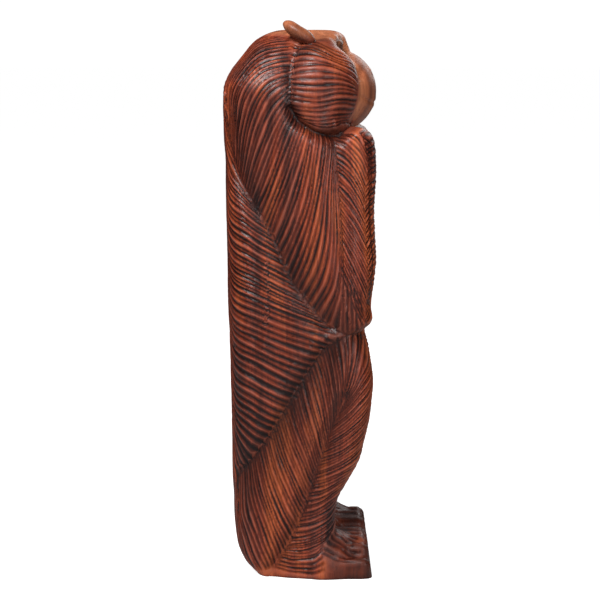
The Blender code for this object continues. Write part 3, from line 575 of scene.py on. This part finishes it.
# Each comb: spacing and depth of its grooves, how much of each is a round scoop rather than a V between
# round locks, and its guides from one edge to the other.
COMBS = {
    "cape": (4.3, 1.7, 0.6, (
        on_back((2, 486), (3, 478), (4, 470), (4, 462), (4, 455)),
        on_back((22, 484), (26, 470), (30, 458), (32, 446), (34, 436)),
        on_side((13, 484), (38, 478), (57, 456), (64, 432), (65, 408)),
        on_side((12, 472), (36, 466), (53, 446), (59, 420), (60, 390)),
        on_side((10, 461), (33, 455), (48, 438), (54, 412), (56, 377)),
        on_side((9, 448), (28, 437), (40, 414), (46, 389), (51, 363)),
        on_side((9, 434), (22, 413), (32, 389), (39, 370), (45, 350)),
        on_side((4, 418), (14, 393), (22, 371), (29, 353), (37, 336)),
        on_side((-5, 408), (4, 380), (12, 358), (19, 340), (27, 319)),
        on_side((-12, 404), (-6, 368), (1, 341), (9, 319), (18, 300)),
        on_side((-20, 402), (-16, 354), (-9, 323), (0, 298), (9, 277)),
        on_side((-25, 400), (-25, 350), (-22, 312), (-15, 284), (-3, 260)),
        on_side((-30, 397), (-33, 346), (-35, 302), (-31, 268), (-17, 242)),
        on_side((-32, 388), (-36, 340), (-39, 296), (-38, 262), (-32, 230)),
    )),
    "elbow": (3.8, 1.4, 0.6, (
        on_side((-38, 268), (-39, 250), (-38, 230)),
        on_side((-46, 268), (-47, 250), (-47, 230)),
        on_side((-54, 262), (-56, 246), (-58, 230)),
    )),
    "back": (5.7, 1.9, 0.6, (
        on_back((1, 464), (34, 440)) + on_side((62, 408), (61, 399), (59, 390)),
        on_back((1, 440), (34, 412)) + on_side((62, 374), (55, 361), (48, 350)),
        on_back((1, 412), (34, 384)) + on_side((63, 346), (47, 331), (28, 317)),
        on_back((1, 384), (34, 356)) + on_side((63, 320), (41, 303), (14, 287)),
        on_back((1, 354), (34, 328)) + on_side((63, 296), (36, 277), (-2, 256)),
        on_back((1, 324), (34, 300)) + on_side((62, 269), (33, 252), (-30, 228)),
        on_back((1, 294), (34, 272)) + on_side((62, 243), (34, 226), (-18, 206)),
        on_back((1, 266), (34, 245)) + on_side((61, 216), (36, 200), (-2, 180)),
        on_back((1, 238), (34, 217)) + on_side((60, 188), (38, 172), (10, 156)),
        on_back((1, 211), (34, 190)) + on_side((60, 160), (44, 147), (24, 134)),
        on_back((1, 186), (34, 164)) + on_side((58, 132), (52, 119), (45, 105)),
        on_back((1, 166), (34, 142)) + on_side((60, 108), (59, 100), (57, 92)),
    )),
    "rump": (4.9, 1.7, 0.6, (
        on_back((1, 164), (1, 106), (1, 52), (1, 2)),
        on_back((22, 152), (24, 98), (24, 48), (20, 4)),
        on_back((46, 130), (50, 90), (50, 46)) + on_side((46, 6)),
        on_side((57, 98), (57, 72), (53, 40), (42, 10)),
    )),
    "thigh": (3.9, 1.6, 0.6, (
        on_side((56, 96), (56, 68), (50, 38), (38, 8)),
        on_side((46, 104), (41, 74), (31, 42), (22, 12)),
        on_side((36, 118), (29, 90), (18, 60), (7, 36)),
        on_side((24, 136), (16, 110), (5, 84), (-5, 62)),
        on_side((12, 156), (3, 130), (-6, 108), (-14, 88)),
        on_side((0, 176), (-6, 153), (-13, 130), (-19, 108)),
        on_side((-11, 194), (-18, 169), (-23, 148), (-26, 128)),
        on_side((-22, 210), (-28, 186), (-31, 165), (-31, 145)),
        on_side((-33, 219), (-37, 198), (-39, 181), (-38, 164)),
        on_side((-43, 224), (-44, 206), (-43, 189), (-40, 170)),
    )),
    "shin": (4.2, 1.6, 0.6, (
        on_side((-47, 225), (-47, 208), (-45, 192), (-41, 172)),
        on_side((-57, 225), (-56, 208), (-52, 190), (-42, 167)),
        on_front((49, 222)) + on_side((-64, 203), (-56, 183), (-38, 158)),
        on_front((47, 200)) + on_side((-65, 183), (-52, 164), (-32, 144)),
        on_front((47, 176)) + on_side((-63, 160), (-47, 143), (-27, 128)),
        on_front((47, 150)) + on_side((-57, 136), (-41, 123), (-21, 113)),
        on_front((47, 128)) + on_side((-48, 116), (-33, 108), (-16, 100)),
        on_front((47, 107)) + on_side((-39, 97), (-26, 91), (-11, 86)),
        on_front((47, 88)) + on_side((-32, 79), (-20, 72), (-5, 67)),
        on_front((47, 70)) + on_side((-28, 60), (-14, 54), (1, 50)),
        on_front((47, 53)) + on_side((-27, 45), (-9, 36), (8, 32)),
        on_side((-19, 26), (-15, 22), (-1, 19), (15, 20)),
        on_side((-18, 8), (-13, 6), (1, 6), (20, 8)),
    )),
    "inner shin": (4.6, 1.4, 0.6, (
        on_front((45, 222), (34, 216), (24, 204)),
        on_front((45, 190), (32, 180), (20, 164)),
        on_front((45, 150), (32, 140), (20, 124)),
        on_front((45, 110), (32, 100), (20, 86)),
        on_front((45, 82), (33, 72), (22, 60)),
        on_front((45, 62), (34, 54), (25, 46)),
    )),
    "ankle": (4.4, 1.4, 0.6, (
        ((24, -33, 50), (26, -35, 46), (28, -38, 42)),
        ((35, -34, 56), (36, -36, 50), (37, -39, 43)),
        ((46, -35, 60), (46, -37, 52), (46, -40, 44)),
    )),
    "lap": (4.8, 1.4, 0.6, (
        on_front((1, 226), (1, 160), (1, 100), (1, 44)),
        on_front((17, 222), (16, 160), (15, 100), (14, 44)),
    )),
    "between feet": (3.6, 1.3, 0.6, (
        on_front((1, 40), (1, 22), (1, 3)),
        on_front((8, 38), (7, 22), (6, 3)),
    )),
    "cheek": (4.3, 1.9, 0.25, (
        on_side((1, 482), (-13, 481), (-29, 474)) + on_front((42, 466)),
        on_side((3, 477), (-12, 475), (-30, 467)) + on_front((42, 459)),
        on_side((6, 465), (-17, 466), (-34, 461)) + on_front((46, 450)),
        on_side((8, 453), (-17, 456), (-36, 453)) + on_front((46, 443)),
        on_side((8, 438), (-17, 435), (-35, 438)) + on_front((46, 436)),
        on_side((6, 427), (-18, 424), (-34, 427)) + on_front((45, 426)),
        on_side((1, 418), (-19, 415), (-35, 417)) + on_front((42, 418)),
        on_side((-10, 411), (-24, 408), (-38, 411)) + on_front((38, 410)),
    )),
    "top of foot": (5.2, 1.1, 0.4, (
        ((70, -20, 22), (72, -36, 17), (69, -50, 14)),
        ((58, -28, 34), (60, -42, 24), (61, -52, 18)),
        ((44, -33, 38), (47, -44, 28), (49, -53, 21)),
        ((32, -33, 37), (35, -44, 29), (37, -53, 23)),
        ((20, -30, 33), (23, -44, 29), (24, -53, 24)),
    )),
    "forearm": (4.4, 1.7, 0.6, (
        on_side((-36, 404), (-45, 402), (-53, 396), (-60, 384)),
        on_side((-33, 392), (-42, 387), (-51, 376), (-58, 360)),
        on_side((-34, 374), (-42, 368), (-50, 357), (-57, 342)),
        on_side((-36, 348), (-43, 340), (-51, 328), (-59, 312)),
        on_side((-37, 312), (-43, 300), (-51, 284), (-60, 262)),
        on_side((-38, 278), (-43, 266), (-48, 252), (-56, 234)),
    )),
    "forearm front": (4.6, 1.7, 0.6, (
        on_front((48, 404), (62, 401)) + on_side((-63, 392), (-60, 378)),
        on_front((48, 384), (62, 378)) + on_side((-64, 370), (-59, 358)),
        on_front((48, 356), (62, 350)) + on_side((-63, 341), (-58, 330)),
        on_front((48, 326), (62, 318)) + on_side((-64, 309), (-60, 296)),
        on_front((48, 294), (62, 286)) + on_side((-65, 276), (-61, 262)),
        on_front((48, 262), (62, 254)) + on_side((-64, 246), (-60, 236)),
    )),
    "inner forearm": (4.6, 1.4, 0.6, (
        on_front((46, 402), (37, 396), (30, 386)),
        on_front((46, 370), (36, 360), (27, 348)),
        on_front((46, 330), (34, 320), (22, 304)),
        on_front((46, 290), (34, 278), (23, 262)),
        on_front((46, 256), (35, 246), (26, 236)),
    )),
    "chest": (4.8, 1.4, 0.6, (
        on_front((1, 342), (1, 300), (1, 262), (1, 230)),
        on_front((15, 330), (17, 300), (18, 262), (19, 230)),
    )),
}


def cast(points):
    """Bring points that were given on a side, back or front view in to the first surface they meet."""
    start = np.array(points, float)
    viewed = np.abs(start) == VIEW_DISTANCE
    axis = np.argmax(viewed, axis=1)
    rows = np.arange(len(start))
    side = np.sign(start[rows, axis])
    landed = start.copy()
    met = ~viewed.any(axis=1)
    for distance in np.arange(VIEW_DISTANCE, 0.0, -1.0):
        trial = start.copy()
        trial[rows, axis] = side * distance
        inside = (form(trial) < 0.0) & ~met
        landed[inside] = trial[inside]
        met |= inside
    return landed


def lengths_along(points):
    """Distance of each point of a line from its start."""
    return np.concatenate(([0.0], np.cumsum(np.linalg.norm(np.diff(points, axis=0), axis=1))))


def resample(points, count):
    """The given number of evenly spaced points along a smooth curve through a few points."""
    lengths = lengths_along(points)
    return smooth_curve(np.linspace(0.0, lengths[-1], count), lengths, points)


def run_on(points):
    """The same line, longer at both ends."""
    first = points[0] - points[1]
    last = points[-1] - points[-2]
    start = points[0] + START_RUN * first / np.linalg.norm(first)
    end = points[-1] + END_RUN * last / np.linalg.norm(last)
    return np.vstack((start, points[1:-1], end))


def waver(random, count, knots):
    """Smooth random course between about -1 and 1."""
    at, ends = np.linspace(0.0, 1.0, count), np.linspace(0.0, 1.0, knots)
    return smooth_curve(at, ends, random.uniform(-1, 1, knots))


def comb_shape(guides):
    """The guides of a comb on the surface, each as evenly spaced points."""
    casts = cast([point for guide in guides for point in guide]).reshape(len(guides), -1, 3)
    return np.array([resample(run_on(line), STATIONS) for line in casts])


def comb_lines(shape, pitch, random):
    """Grooves that fill a comb: for each its points and half the gap to its neighbours."""
    gaps = np.linalg.norm(np.diff(shape, axis=0), axis=2).mean(axis=1)
    edges = np.concatenate(([0.0], np.cumsum(gaps)))
    count = max(int(round(edges[-1] / pitch)), 1)
    places = np.linspace(0.0, edges[-1], count + 1) + pitch * JITTER * random.uniform(-1, 1, count + 1)
    station = np.arange(STATIONS)
    lines = []
    for place in places:
        at = np.clip(place + pitch * WANDER * waver(random, STATIONS, knots=5), 0.0, edges[-1] - 1e-6)
        index = np.searchsorted(edges, at, side="right") - 1
        t = ((at - edges[index]) / gaps[index])[:, None]
        lines.append(shape[index, station] * (1 - t) + shape[index + 1, station] * t)
    return [(line, half_gap(lines, i)) for i, line in enumerate(lines)]


def half_gap(lines, i):
    """Half the distance from each point of a line to its neighbours, square to the line."""
    along = np.gradient(lines[i], axis=0)
    along /= np.linalg.norm(along, axis=1)[:, None]
    widths = []
    for neighbour in lines[max(i - 1, 0):i] + lines[i + 1:i + 2]:
        away = neighbour - lines[i]
        away = away - (away * along).sum(axis=1)[:, None] * along
        widths.append(np.linalg.norm(away, axis=1))
    return 0.5 * np.mean(widths, axis=0)


def fine_line(line, gap, random):
    """One groove as closely spaced points with the half gap and the strength at each."""
    along = lengths_along(line)
    count = max(int(along[-1] / LINE_STEP), 4)
    at = np.linspace(0.0, along[-1], count)
    points = smooth_curve(at, along, line)
    ends = np.clip(np.minimum(at, along[-1] - at) / END_TAPER, 0.0, 1.0)
    strength = END_STRENGTH + (1.0 - END_STRENGTH) * ends
    strength = strength * (EVEN_DEPTH + DEPTH_WAVER * waver(random, count, knots=7))
    return points, np.interp(at, along, gap), strength * random.uniform(*LINE_STRENGTH)


def grooves():
    """All grooves on both halves: points, and for each its half gap, depth and share of scoop."""
    points, gaps, depths, scoops = [], [], [], []
    random = np.random.default_rng(SEED)
    for pitch, depth, scoop, guides in COMBS.values():
        shape = comb_shape(guides)
        for side in (-1.0, 1.0):
            for line, gap in comb_lines(shape, pitch, random):
                line_points, line_gap, strength = fine_line(line, gap, random)
                points.append(line_points * (side, 1.0, 1.0))
                gaps.append(line_gap)
                depths.append(depth * strength)
                scoops.append(np.full(len(line_points), scoop))
    for path, depth in SEAMS:
        path_points = cast(on_side(*path))
        count = int(lengths_along(path_points)[-1] / LINE_STEP)
        for side in (-1.0, 1.0):
            points.append(resample(path_points, count) * (side, 1.0, 1.0))
            gaps.append(np.full(count, SEAM_GAP))
            depths.append(np.full(count, depth))
            scoops.append(np.full(count, 0.0))
    points = settle(np.concatenate(points), rounds=3, longest_step=3.0)
    return points, np.concatenate(gaps), np.concatenate(depths), np.concatenate(scoops)


def carve_fur(points):
    """Depth of the fur's carving at each point, and how far the nearest groove is."""
    lines, gaps, depths, scoops = grooves()
    tree = KDTree(len(lines))
    for index, place in enumerate(lines):
        tree.insert(place, index)
    tree.balance()
    found = [tree.find(place)[1:] for place in points]
    nearest = np.array([index for index, _ in found])
    distance = np.array([away for _, away in found])
    side = np.clip(distance / np.maximum(gaps[nearest], SMALLEST_GAP), 0.0, 1.0)
    round_lock = 1.0 - np.sqrt(np.maximum(1.0 - (1.0 - side) ** 2, 0.0))
    scoop = scoops[nearest]
    return depths[nearest] * (scoop * (1.0 - side ** 2) + (1.0 - scoop) * round_lock), distance


def soft_place(p, edges):
    """1 where a point lies well within every edge, and 0 beyond one of them."""
    inside = np.ones(len(p))
    for axis, sets_in, whole in edges:
        inside = inside * ramp(p[:, axis], sets_in, whole)
    return inside


def shade_of(points):
    """How much painted shade each point has deep in a seam's valley, under the ruff, in the eye socket and
    the cheek pit, and how much darker it is painted elsewhere, from 0 to 1.
    """
    p = on_one_half(points)
    valleys = side_relief(p) + valley(p, *UNDER_RUFF_SHADOW, RUFF_FLOOR)
    on_sides = valleys / VALLEY_DEPTH * ramp(p[:, X], SIDE_STARTS, SIDE_WHOLE)
    shade = VALLEY_SHADE * on_sides + FOOT_DARKENING * soft_place(p, FOOT_EDGES)
    for darker_place in DARKER_PLACES:
        shade = shade + dent(p, *darker_place)
    return np.clip(shade, 0.0, 1.0)


def chipping(points):
    """How deep each point is chipped out, in irregular flecks along the chipped places."""
    result = np.zeros(len(points))
    for path in CHIPPED:
        distance, _ = side_distance(points, path)
        near = np.exp(-(distance / CHIPPED_WIDTH) ** 2)
        result = np.maximum(result, near * (np.abs(points[:, X]) > CHIPPED_FROM))
    touched = np.nonzero(result > LEAST_CHIPPED)[0]
    flecks = noise_at(points[touched], CHIP_SCALE)
    result[touched] *= ramp(flecks, *PITS) - RIDGE_SHARE * ramp(-flecks, *RIDGES)
    return CHIP_DEPTH * result


def bare_skin(points, distance):
    """Where there is smooth skin and no fur, from 0 to 1, given the distance from the nearest groove."""
    p = on_one_half(points)
    bare = np.maximum.reduce([bareness * soft_place(p, edges) for bareness, edges in BARE_PLACES])
    return bare * ramp(distance, *FUR_ENDS)


def noise_at(points, scale):
    return np.array([noise.noise(Vector(place)) for place in points * scale])


# Blender objects.
def get_points(mesh):
    flat = np.empty(len(mesh.vertices) * 3)
    mesh.vertices.foreach_get("co", flat)
    return flat.reshape(-1, 3)


def set_points(mesh, points):
    mesh.vertices.foreach_set("co", points.ravel())
    mesh.update()


def apply_modifier(item, kind, **settings):
    """Add one modifier to an object and make its result the object's mesh."""
    modifier = item.modifiers.new(kind.title(), kind)
    for name, value in settings.items():
        setattr(modifier, name, value)
    graph = bpy.context.evaluated_depsgraph_get()
    mesh = bpy.data.meshes.new_from_object(item.evaluated_get(graph))
    item.modifiers.clear()
    old = item.data
    item.data = mesh
    bpy.data.meshes.remove(old)


def copy_of_solid():
    """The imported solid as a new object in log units, run on below its underside."""
    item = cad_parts[NODE].copy()
    item.data = item.data.copy()
    item.parent = None
    item.name = "monkey_surface"
    for key in list(item.keys()):
        del item[key]
    bpy.context.scene.collection.objects.link(item)
    item.data.materials.clear()
    points = get_points(item.data) / UNIT
    points[points[:, Z] < FLAT_TOLERANCE, Z] = -SAW_MARGIN
    set_points(item.data, points)
    return item


def saw_underside(item):
    """Cut the block off flat at z = 0."""
    shape = bmesh.new()
    shape.from_mesh(item.data)
    everything = shape.verts[:] + shape.edges[:] + shape.faces[:]
    down = (0, 0, -1)
    bmesh.ops.bisect_plane(shape, geom=everything, plane_co=(0, 0, 0), plane_no=down, clear_outer=True)
    rim = [edge for edge in shape.edges if edge.is_boundary]
    filled = bmesh.ops.contextual_create(shape, geom=rim)
    bmesh.ops.triangulate(shape, faces=filled["faces"])
    shape.to_mesh(item.data)
    shape.free()


def keep_values(mesh, name, values):
    attribute = mesh.attributes.new(name, "FLOAT", "POINT")
    attribute.data.foreach_set("value", values.astype(np.float32))


def fit_to_solid(item):
    """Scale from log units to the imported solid's own box."""
    points = get_points(item.data)
    points[np.abs(points[:, Z]) < FLAT_TOLERANCE, Z] = 0.0
    low, high = points.min(axis=0), points.max(axis=0)
    cad_low, cad_high = np.array(CAD_BOX[0]), np.array(CAD_BOX[1])
    set_points(item.data, cad_low + (points - low) * (cad_high - cad_low) / (high - low))


def carved_surface():
    """The finished surface of the figure as one mesh."""
    item = copy_of_solid()
    for cell, passes in PASSES:
        apply_modifier(item, "REMESH", mode="VOXEL", voxel_size=cell)
        for _ in range(passes):
            set_points(item.data, settle(get_points(item.data), rounds=2, longest_step=cell))
            apply_modifier(item, "SMOOTH", factor=0.5, iterations=2)
        set_points(item.data, settle(get_points(item.data), rounds=2, longest_step=cell))
    apply_modifier(item, "SUBSURF", levels=1)
    points = settle(get_points(item.data), rounds=1, longest_step=0.5 * MIDDLE_CELL)
    gradient = slope(points)
    normal = gradient / np.maximum(np.linalg.norm(gradient, axis=1), 1e-6)[:, None]
    depth, distance = carve_fur(points)
    chips = chipping(points)
    set_points(item.data, points - normal * (depth + chips - RISE)[:, None])
    # The groove attribute holds painted shade, full in the deepest grooves; where it is near 0, on the
    # crests, a painted highlight goes.
    groove_shade_amount = np.maximum((depth + chips) / FULL_DEPTH, PLAIN_DARKNESS * ramp(distance, *FUR_ENDS))
    keep_values(item.data, "groove", np.clip(groove_shade_amount, 0.0, 1.0))
    keep_values(item.data, "skin", bare_skin(points, distance))
    keep_values(item.data, "shade", shade_of(points))
    keep_values(item.data, "worn", np.clip(-RIDGE_WEAR * chips, 0.0, 1.0))
    saw_underside(item)
    facets = sum(len(face.vertices) - 2 for face in item.data.polygons)
    apply_modifier(item, "DECIMATE", ratio=TRIANGLES / facets, use_collapse_triangulate=True)
    fit_to_solid(item)
    item.data.shade_smooth()
    return item


# Wood. Colours by the value of the broad streaks, for fur and for bare skin; then single colours.
FUR_COLOURS = (
    (0.30, (0.040, 0.012, 0.011)), (0.41, (0.120, 0.024, 0.014)),
    (0.52, (0.230, 0.036, 0.014)), (0.66, (0.420, 0.085, 0.022)),
)
SKIN_COLOURS = ((0.30, (0.175, 0.052, 0.023)), (0.46, (0.375, 0.114, 0.046)), (0.68, (0.580, 0.215, 0.098)))
# painted shade at the bottom of the grooves
GROOVE_SHADE = (0.006, 0.002, 0.002, 1.0)
# painted highlight on the crests of the locks
CREST_HIGHLIGHT = (0.520, 0.160, 0.100, 1.0)
WORN = (0.420, 0.170, 0.130, 1.0)

# Streaks of the grain: how many to the metre across and along, their detail and how much they bend.
BROAD_STREAKS = (30.0, 4.5, 4.0, 0.8)
FINE_STREAKS = (170.0, 8.0, 3.0, 0.0)
PORES = (900.0, 60.0, 1.0, 0.0)
STREAK_ROUGHNESS = 0.6

# Tints, mixes and gloss: each a range of a value, and what its low and high ends become.
GRAIN_TINT = (0.3, 0.7, 0.72, 1.2)
PORE_TINT = (0.30, 0.42, 0.6, 1.0)
SHADE_TINT = (0.15, 1.0, 1.0, 0.3)
CREST_HIGHLIGHT_MIX = (0.0, 0.22, 0.30, 0.0)
GROOVE_SHADE_MIX = (0.10, 0.62, 0.0, 0.97)
WORN_MIX = (0.1, 0.9, 0.0, 0.2)
GLOSS = (0.3, 0.7, 0.36, 0.52)
SHINE = 0.22
COAT, COAT_ROUGHNESS = 0.06, 0.25
BUMP, BUMP_HEIGHT = 0.3, 0.0006


def feed(tree, socket, value):
    """Link a socket to another, or set it to a value."""
    if isinstance(value, bpy.types.NodeSocket):
        tree.links.new(value, socket)
    else:
        socket.default_value = value


def feed_all(tree, node, inputs):
    for name, value in inputs:
        feed(tree, node.inputs[name], value)


def add(tree, kind, inputs=(), **settings):
    """New node with settings, and inputs given as (name or number, value or socket)."""
    node = tree.nodes.new(kind)
    for name, value in settings.items():
        setattr(node, name, value)
    feed_all(tree, node, inputs)
    return node


def colour_ramp(tree, factor, stops):
    node = add(tree, "ShaderNodeValToRGB", [("Fac", factor)])
    elements = node.color_ramp.elements
    while len(elements) < len(stops):
        elements.new(0.5)
    for element, (place, colour) in zip(elements, stops):
        element.position = place
        element.color = (*colour, 1.0)
    return node.outputs["Color"]


def mix_colour(tree, blend_type, factor, a, b):
    node = add(tree, "ShaderNodeMix", data_type="RGBA", blend_type=blend_type)
    for name, value in (("Factor", factor), ("A", a), ("B", b)):
        feed(tree, [s for s in node.inputs if s.name == name and s.enabled][0], value)
    return [s for s in node.outputs if s.enabled][0]


def streaks(tree, place, scale, along, detail, distortion):
    """Noise that is drawn out along the grain, which runs up the log."""
    stretched = add(tree, "ShaderNodeMapping", [("Vector", place), ("Scale", (scale, scale, along))])
    return add(tree, "ShaderNodeTexNoise", [
        ("Vector", stretched.outputs["Vector"]), ("Scale", 1.0), ("Detail", detail),
        ("Roughness", STREAK_ROUGHNESS), ("Distortion", distortion)]).outputs["Fac"]


def remap(tree, value, *limits):
    names = ("From Min", "From Max", "To Min", "To Max")
    return add(tree, "ShaderNodeMapRange", [("Value", value), *zip(names, limits)]).outputs["Result"]


def wood_material():
    """Oiled red-brown hardwood with an upright grain, painted shade in the grooves and a painted highlight on
    the crests, painted shade and darker places from the shade attribute, and lighter on bare skin.
    """
    material = bpy.data.materials.new("oiled_hardwood")
    material.use_nodes = True
    tree = material.node_tree
    place = add(tree, "ShaderNodeTexCoord").outputs["Object"]
    broad, fine, pores = [streaks(tree, place, *row) for row in (BROAD_STREAKS, FINE_STREAKS, PORES)]
    groove, skin, shade, worn = [
        add(tree, "ShaderNodeAttribute", attribute_name=name).outputs["Fac"]
        for name in ("groove", "skin", "shade", "worn")]
    fur_colour = colour_ramp(tree, broad, FUR_COLOURS)
    skin_colour = colour_ramp(tree, broad, SKIN_COLOURS)
    colour = mix_colour(tree, "MIX", skin, fur_colour, skin_colour)
    colour = mix_colour(tree, "MULTIPLY", 1.0, colour, remap(tree, fine, *GRAIN_TINT))
    colour = mix_colour(tree, "MULTIPLY", 1.0, colour, remap(tree, pores, *PORE_TINT))
    # painted highlight on the crests, where the grooves run out
    colour = mix_colour(tree, "MIX", remap(tree, groove, *CREST_HIGHLIGHT_MIX), colour, CREST_HIGHLIGHT)
    # painted shade in the valleys, under the ruff, in the eye socket and the cheek pit, and the other darker
    # places
    colour = mix_colour(tree, "MULTIPLY", 1.0, colour, remap(tree, shade, *SHADE_TINT))
    # painted shade in the grooves
    colour = mix_colour(tree, "MIX", remap(tree, groove, *GROOVE_SHADE_MIX), colour, GROOVE_SHADE)
    colour = mix_colour(tree, "MIX", remap(tree, worn, *WORN_MIX), colour, WORN)
    relief = add(tree, "ShaderNodeMath", [(0, fine), (1, pores)], operation="ADD").outputs[0]
    bump = add(tree, "ShaderNodeBump", [("Strength", BUMP), ("Distance", BUMP_HEIGHT), ("Height", relief)])
    feed_all(tree, tree.nodes["Principled BSDF"], (
        ("Base Color", colour), ("Roughness", remap(tree, fine, *GLOSS)), ("Specular IOR Level", SHINE),
        ("Coat Weight", COAT), ("Coat Roughness", COAT_ROUGHNESS), ("Normal", bump.outputs["Normal"])))
    return material


# Studio, in metres and watts.
CAMERA_DISTANCE, CAMERA_HEIGHT = 1.325, 0.470
CAMERA_FALL = 0.1696      # how far the view drops for each metre ahead
LENS, SENSOR = 86.64, 36.0                # in millimetres
TARGET = (0.0, 0.0, 0.28)
LIGHTS = (                # name, place, width and power
    ("key", (-0.95, 0.40, 1.35), 0.5, 30.0),
    ("fill", (-1.4, -1.0, 0.60), 0.9, 11.0),
    ("far", (1.3, -0.7, 1.00), 0.9, 6.0),
)
ROOM_LIGHT, ROOM_SEEN = 0.07, 1.05        # how bright the room is as a light, and to the camera
FLOOR_GLOW = 0.965        # to the camera only
FLOOR_COLOUR, FLOOR_ROUGHNESS = (0.5, 0.5, 0.5, 1.0), 0.9
FLOOR_RADIUS, FLOOR_SIDES = 60.0, 64
FLOOR_GAP = 0.0004        # between the floor and the underside
WHITE = (1.0, 1.0, 1.0, 1.0)


def new_item(name, data):
    item = bpy.data.objects.new(name, data)
    bpy.context.scene.collection.objects.link(item)
    return item


def aim(item, place, target):
    item.location = place
    item.rotation_euler = (Vector(target) - Vector(place)).to_track_quat("-Z", "Y").to_euler()


def camera():
    data = bpy.data.cameras.new("camera")
    data.lens = LENS
    data.sensor_width = SENSOR
    item = new_item("camera", data)
    place = Vector((-CAMERA_DISTANCE, 0.0, CAMERA_HEIGHT))
    aim(item, place, place + Vector((1.0, 0.0, -CAMERA_FALL)))
    bpy.context.scene.camera = item


def soft_light(name, place, width, power):
    data = bpy.data.lights.new(name, "AREA")
    data.shape = "DISK"
    data.size = width
    data.energy = power
    aim(new_item(name, data), place, TARGET)


def light_or_seen(tree, as_light, to_camera):
    """One value for light and another for what the camera sees."""
    seen = add(tree, "ShaderNodeLightPath").outputs["Is Camera Ray"]
    return remap(tree, seen, 0.0, 1.0, as_light, to_camera)


def studio_world():
    """White room: full white to the camera, softer as a light."""
    world = bpy.data.worlds.new("studio")
    bpy.context.scene.world = world
    world.use_nodes = True
    tree = world.node_tree
    strength = light_or_seen(tree, ROOM_LIGHT, ROOM_SEEN)
    feed_all(tree, tree.nodes["Background"], (("Color", WHITE), ("Strength", strength)))


def floor_material():
    material = bpy.data.materials.new("white_sweep")
    material.use_nodes = True
    tree = material.node_tree
    feed_all(tree, tree.nodes["Principled BSDF"], (
        ("Base Color", FLOOR_COLOUR), ("Roughness", FLOOR_ROUGHNESS),
        ("Specular IOR Level", 0.0), ("Emission Color", WHITE),
        ("Emission Strength", light_or_seen(tree, 0.0, FLOOR_GLOW))))
    return material


def floor():
    mesh = bpy.data.meshes.new("floor")
    shape = bmesh.new()
    bmesh.ops.create_circle(shape, cap_ends=True, radius=FLOOR_RADIUS, segments=FLOOR_SIDES)
    shape.to_mesh(mesh)
    shape.free()
    mesh.materials.append(floor_material())
    item = new_item("floor", mesh)
    item.location.z = CAD_BOX[0][2] - FLOOR_GAP


def main():
    surface = carved_surface()
    surface.data.materials.append(wood_material())
    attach(surface, "root")
    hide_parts(NODE)
    camera()
    floor()
    studio_world()
    for row in LIGHTS:
        soft_light(*row)
    bpy.context.scene.view_settings.view_transform = "Standard"


main()
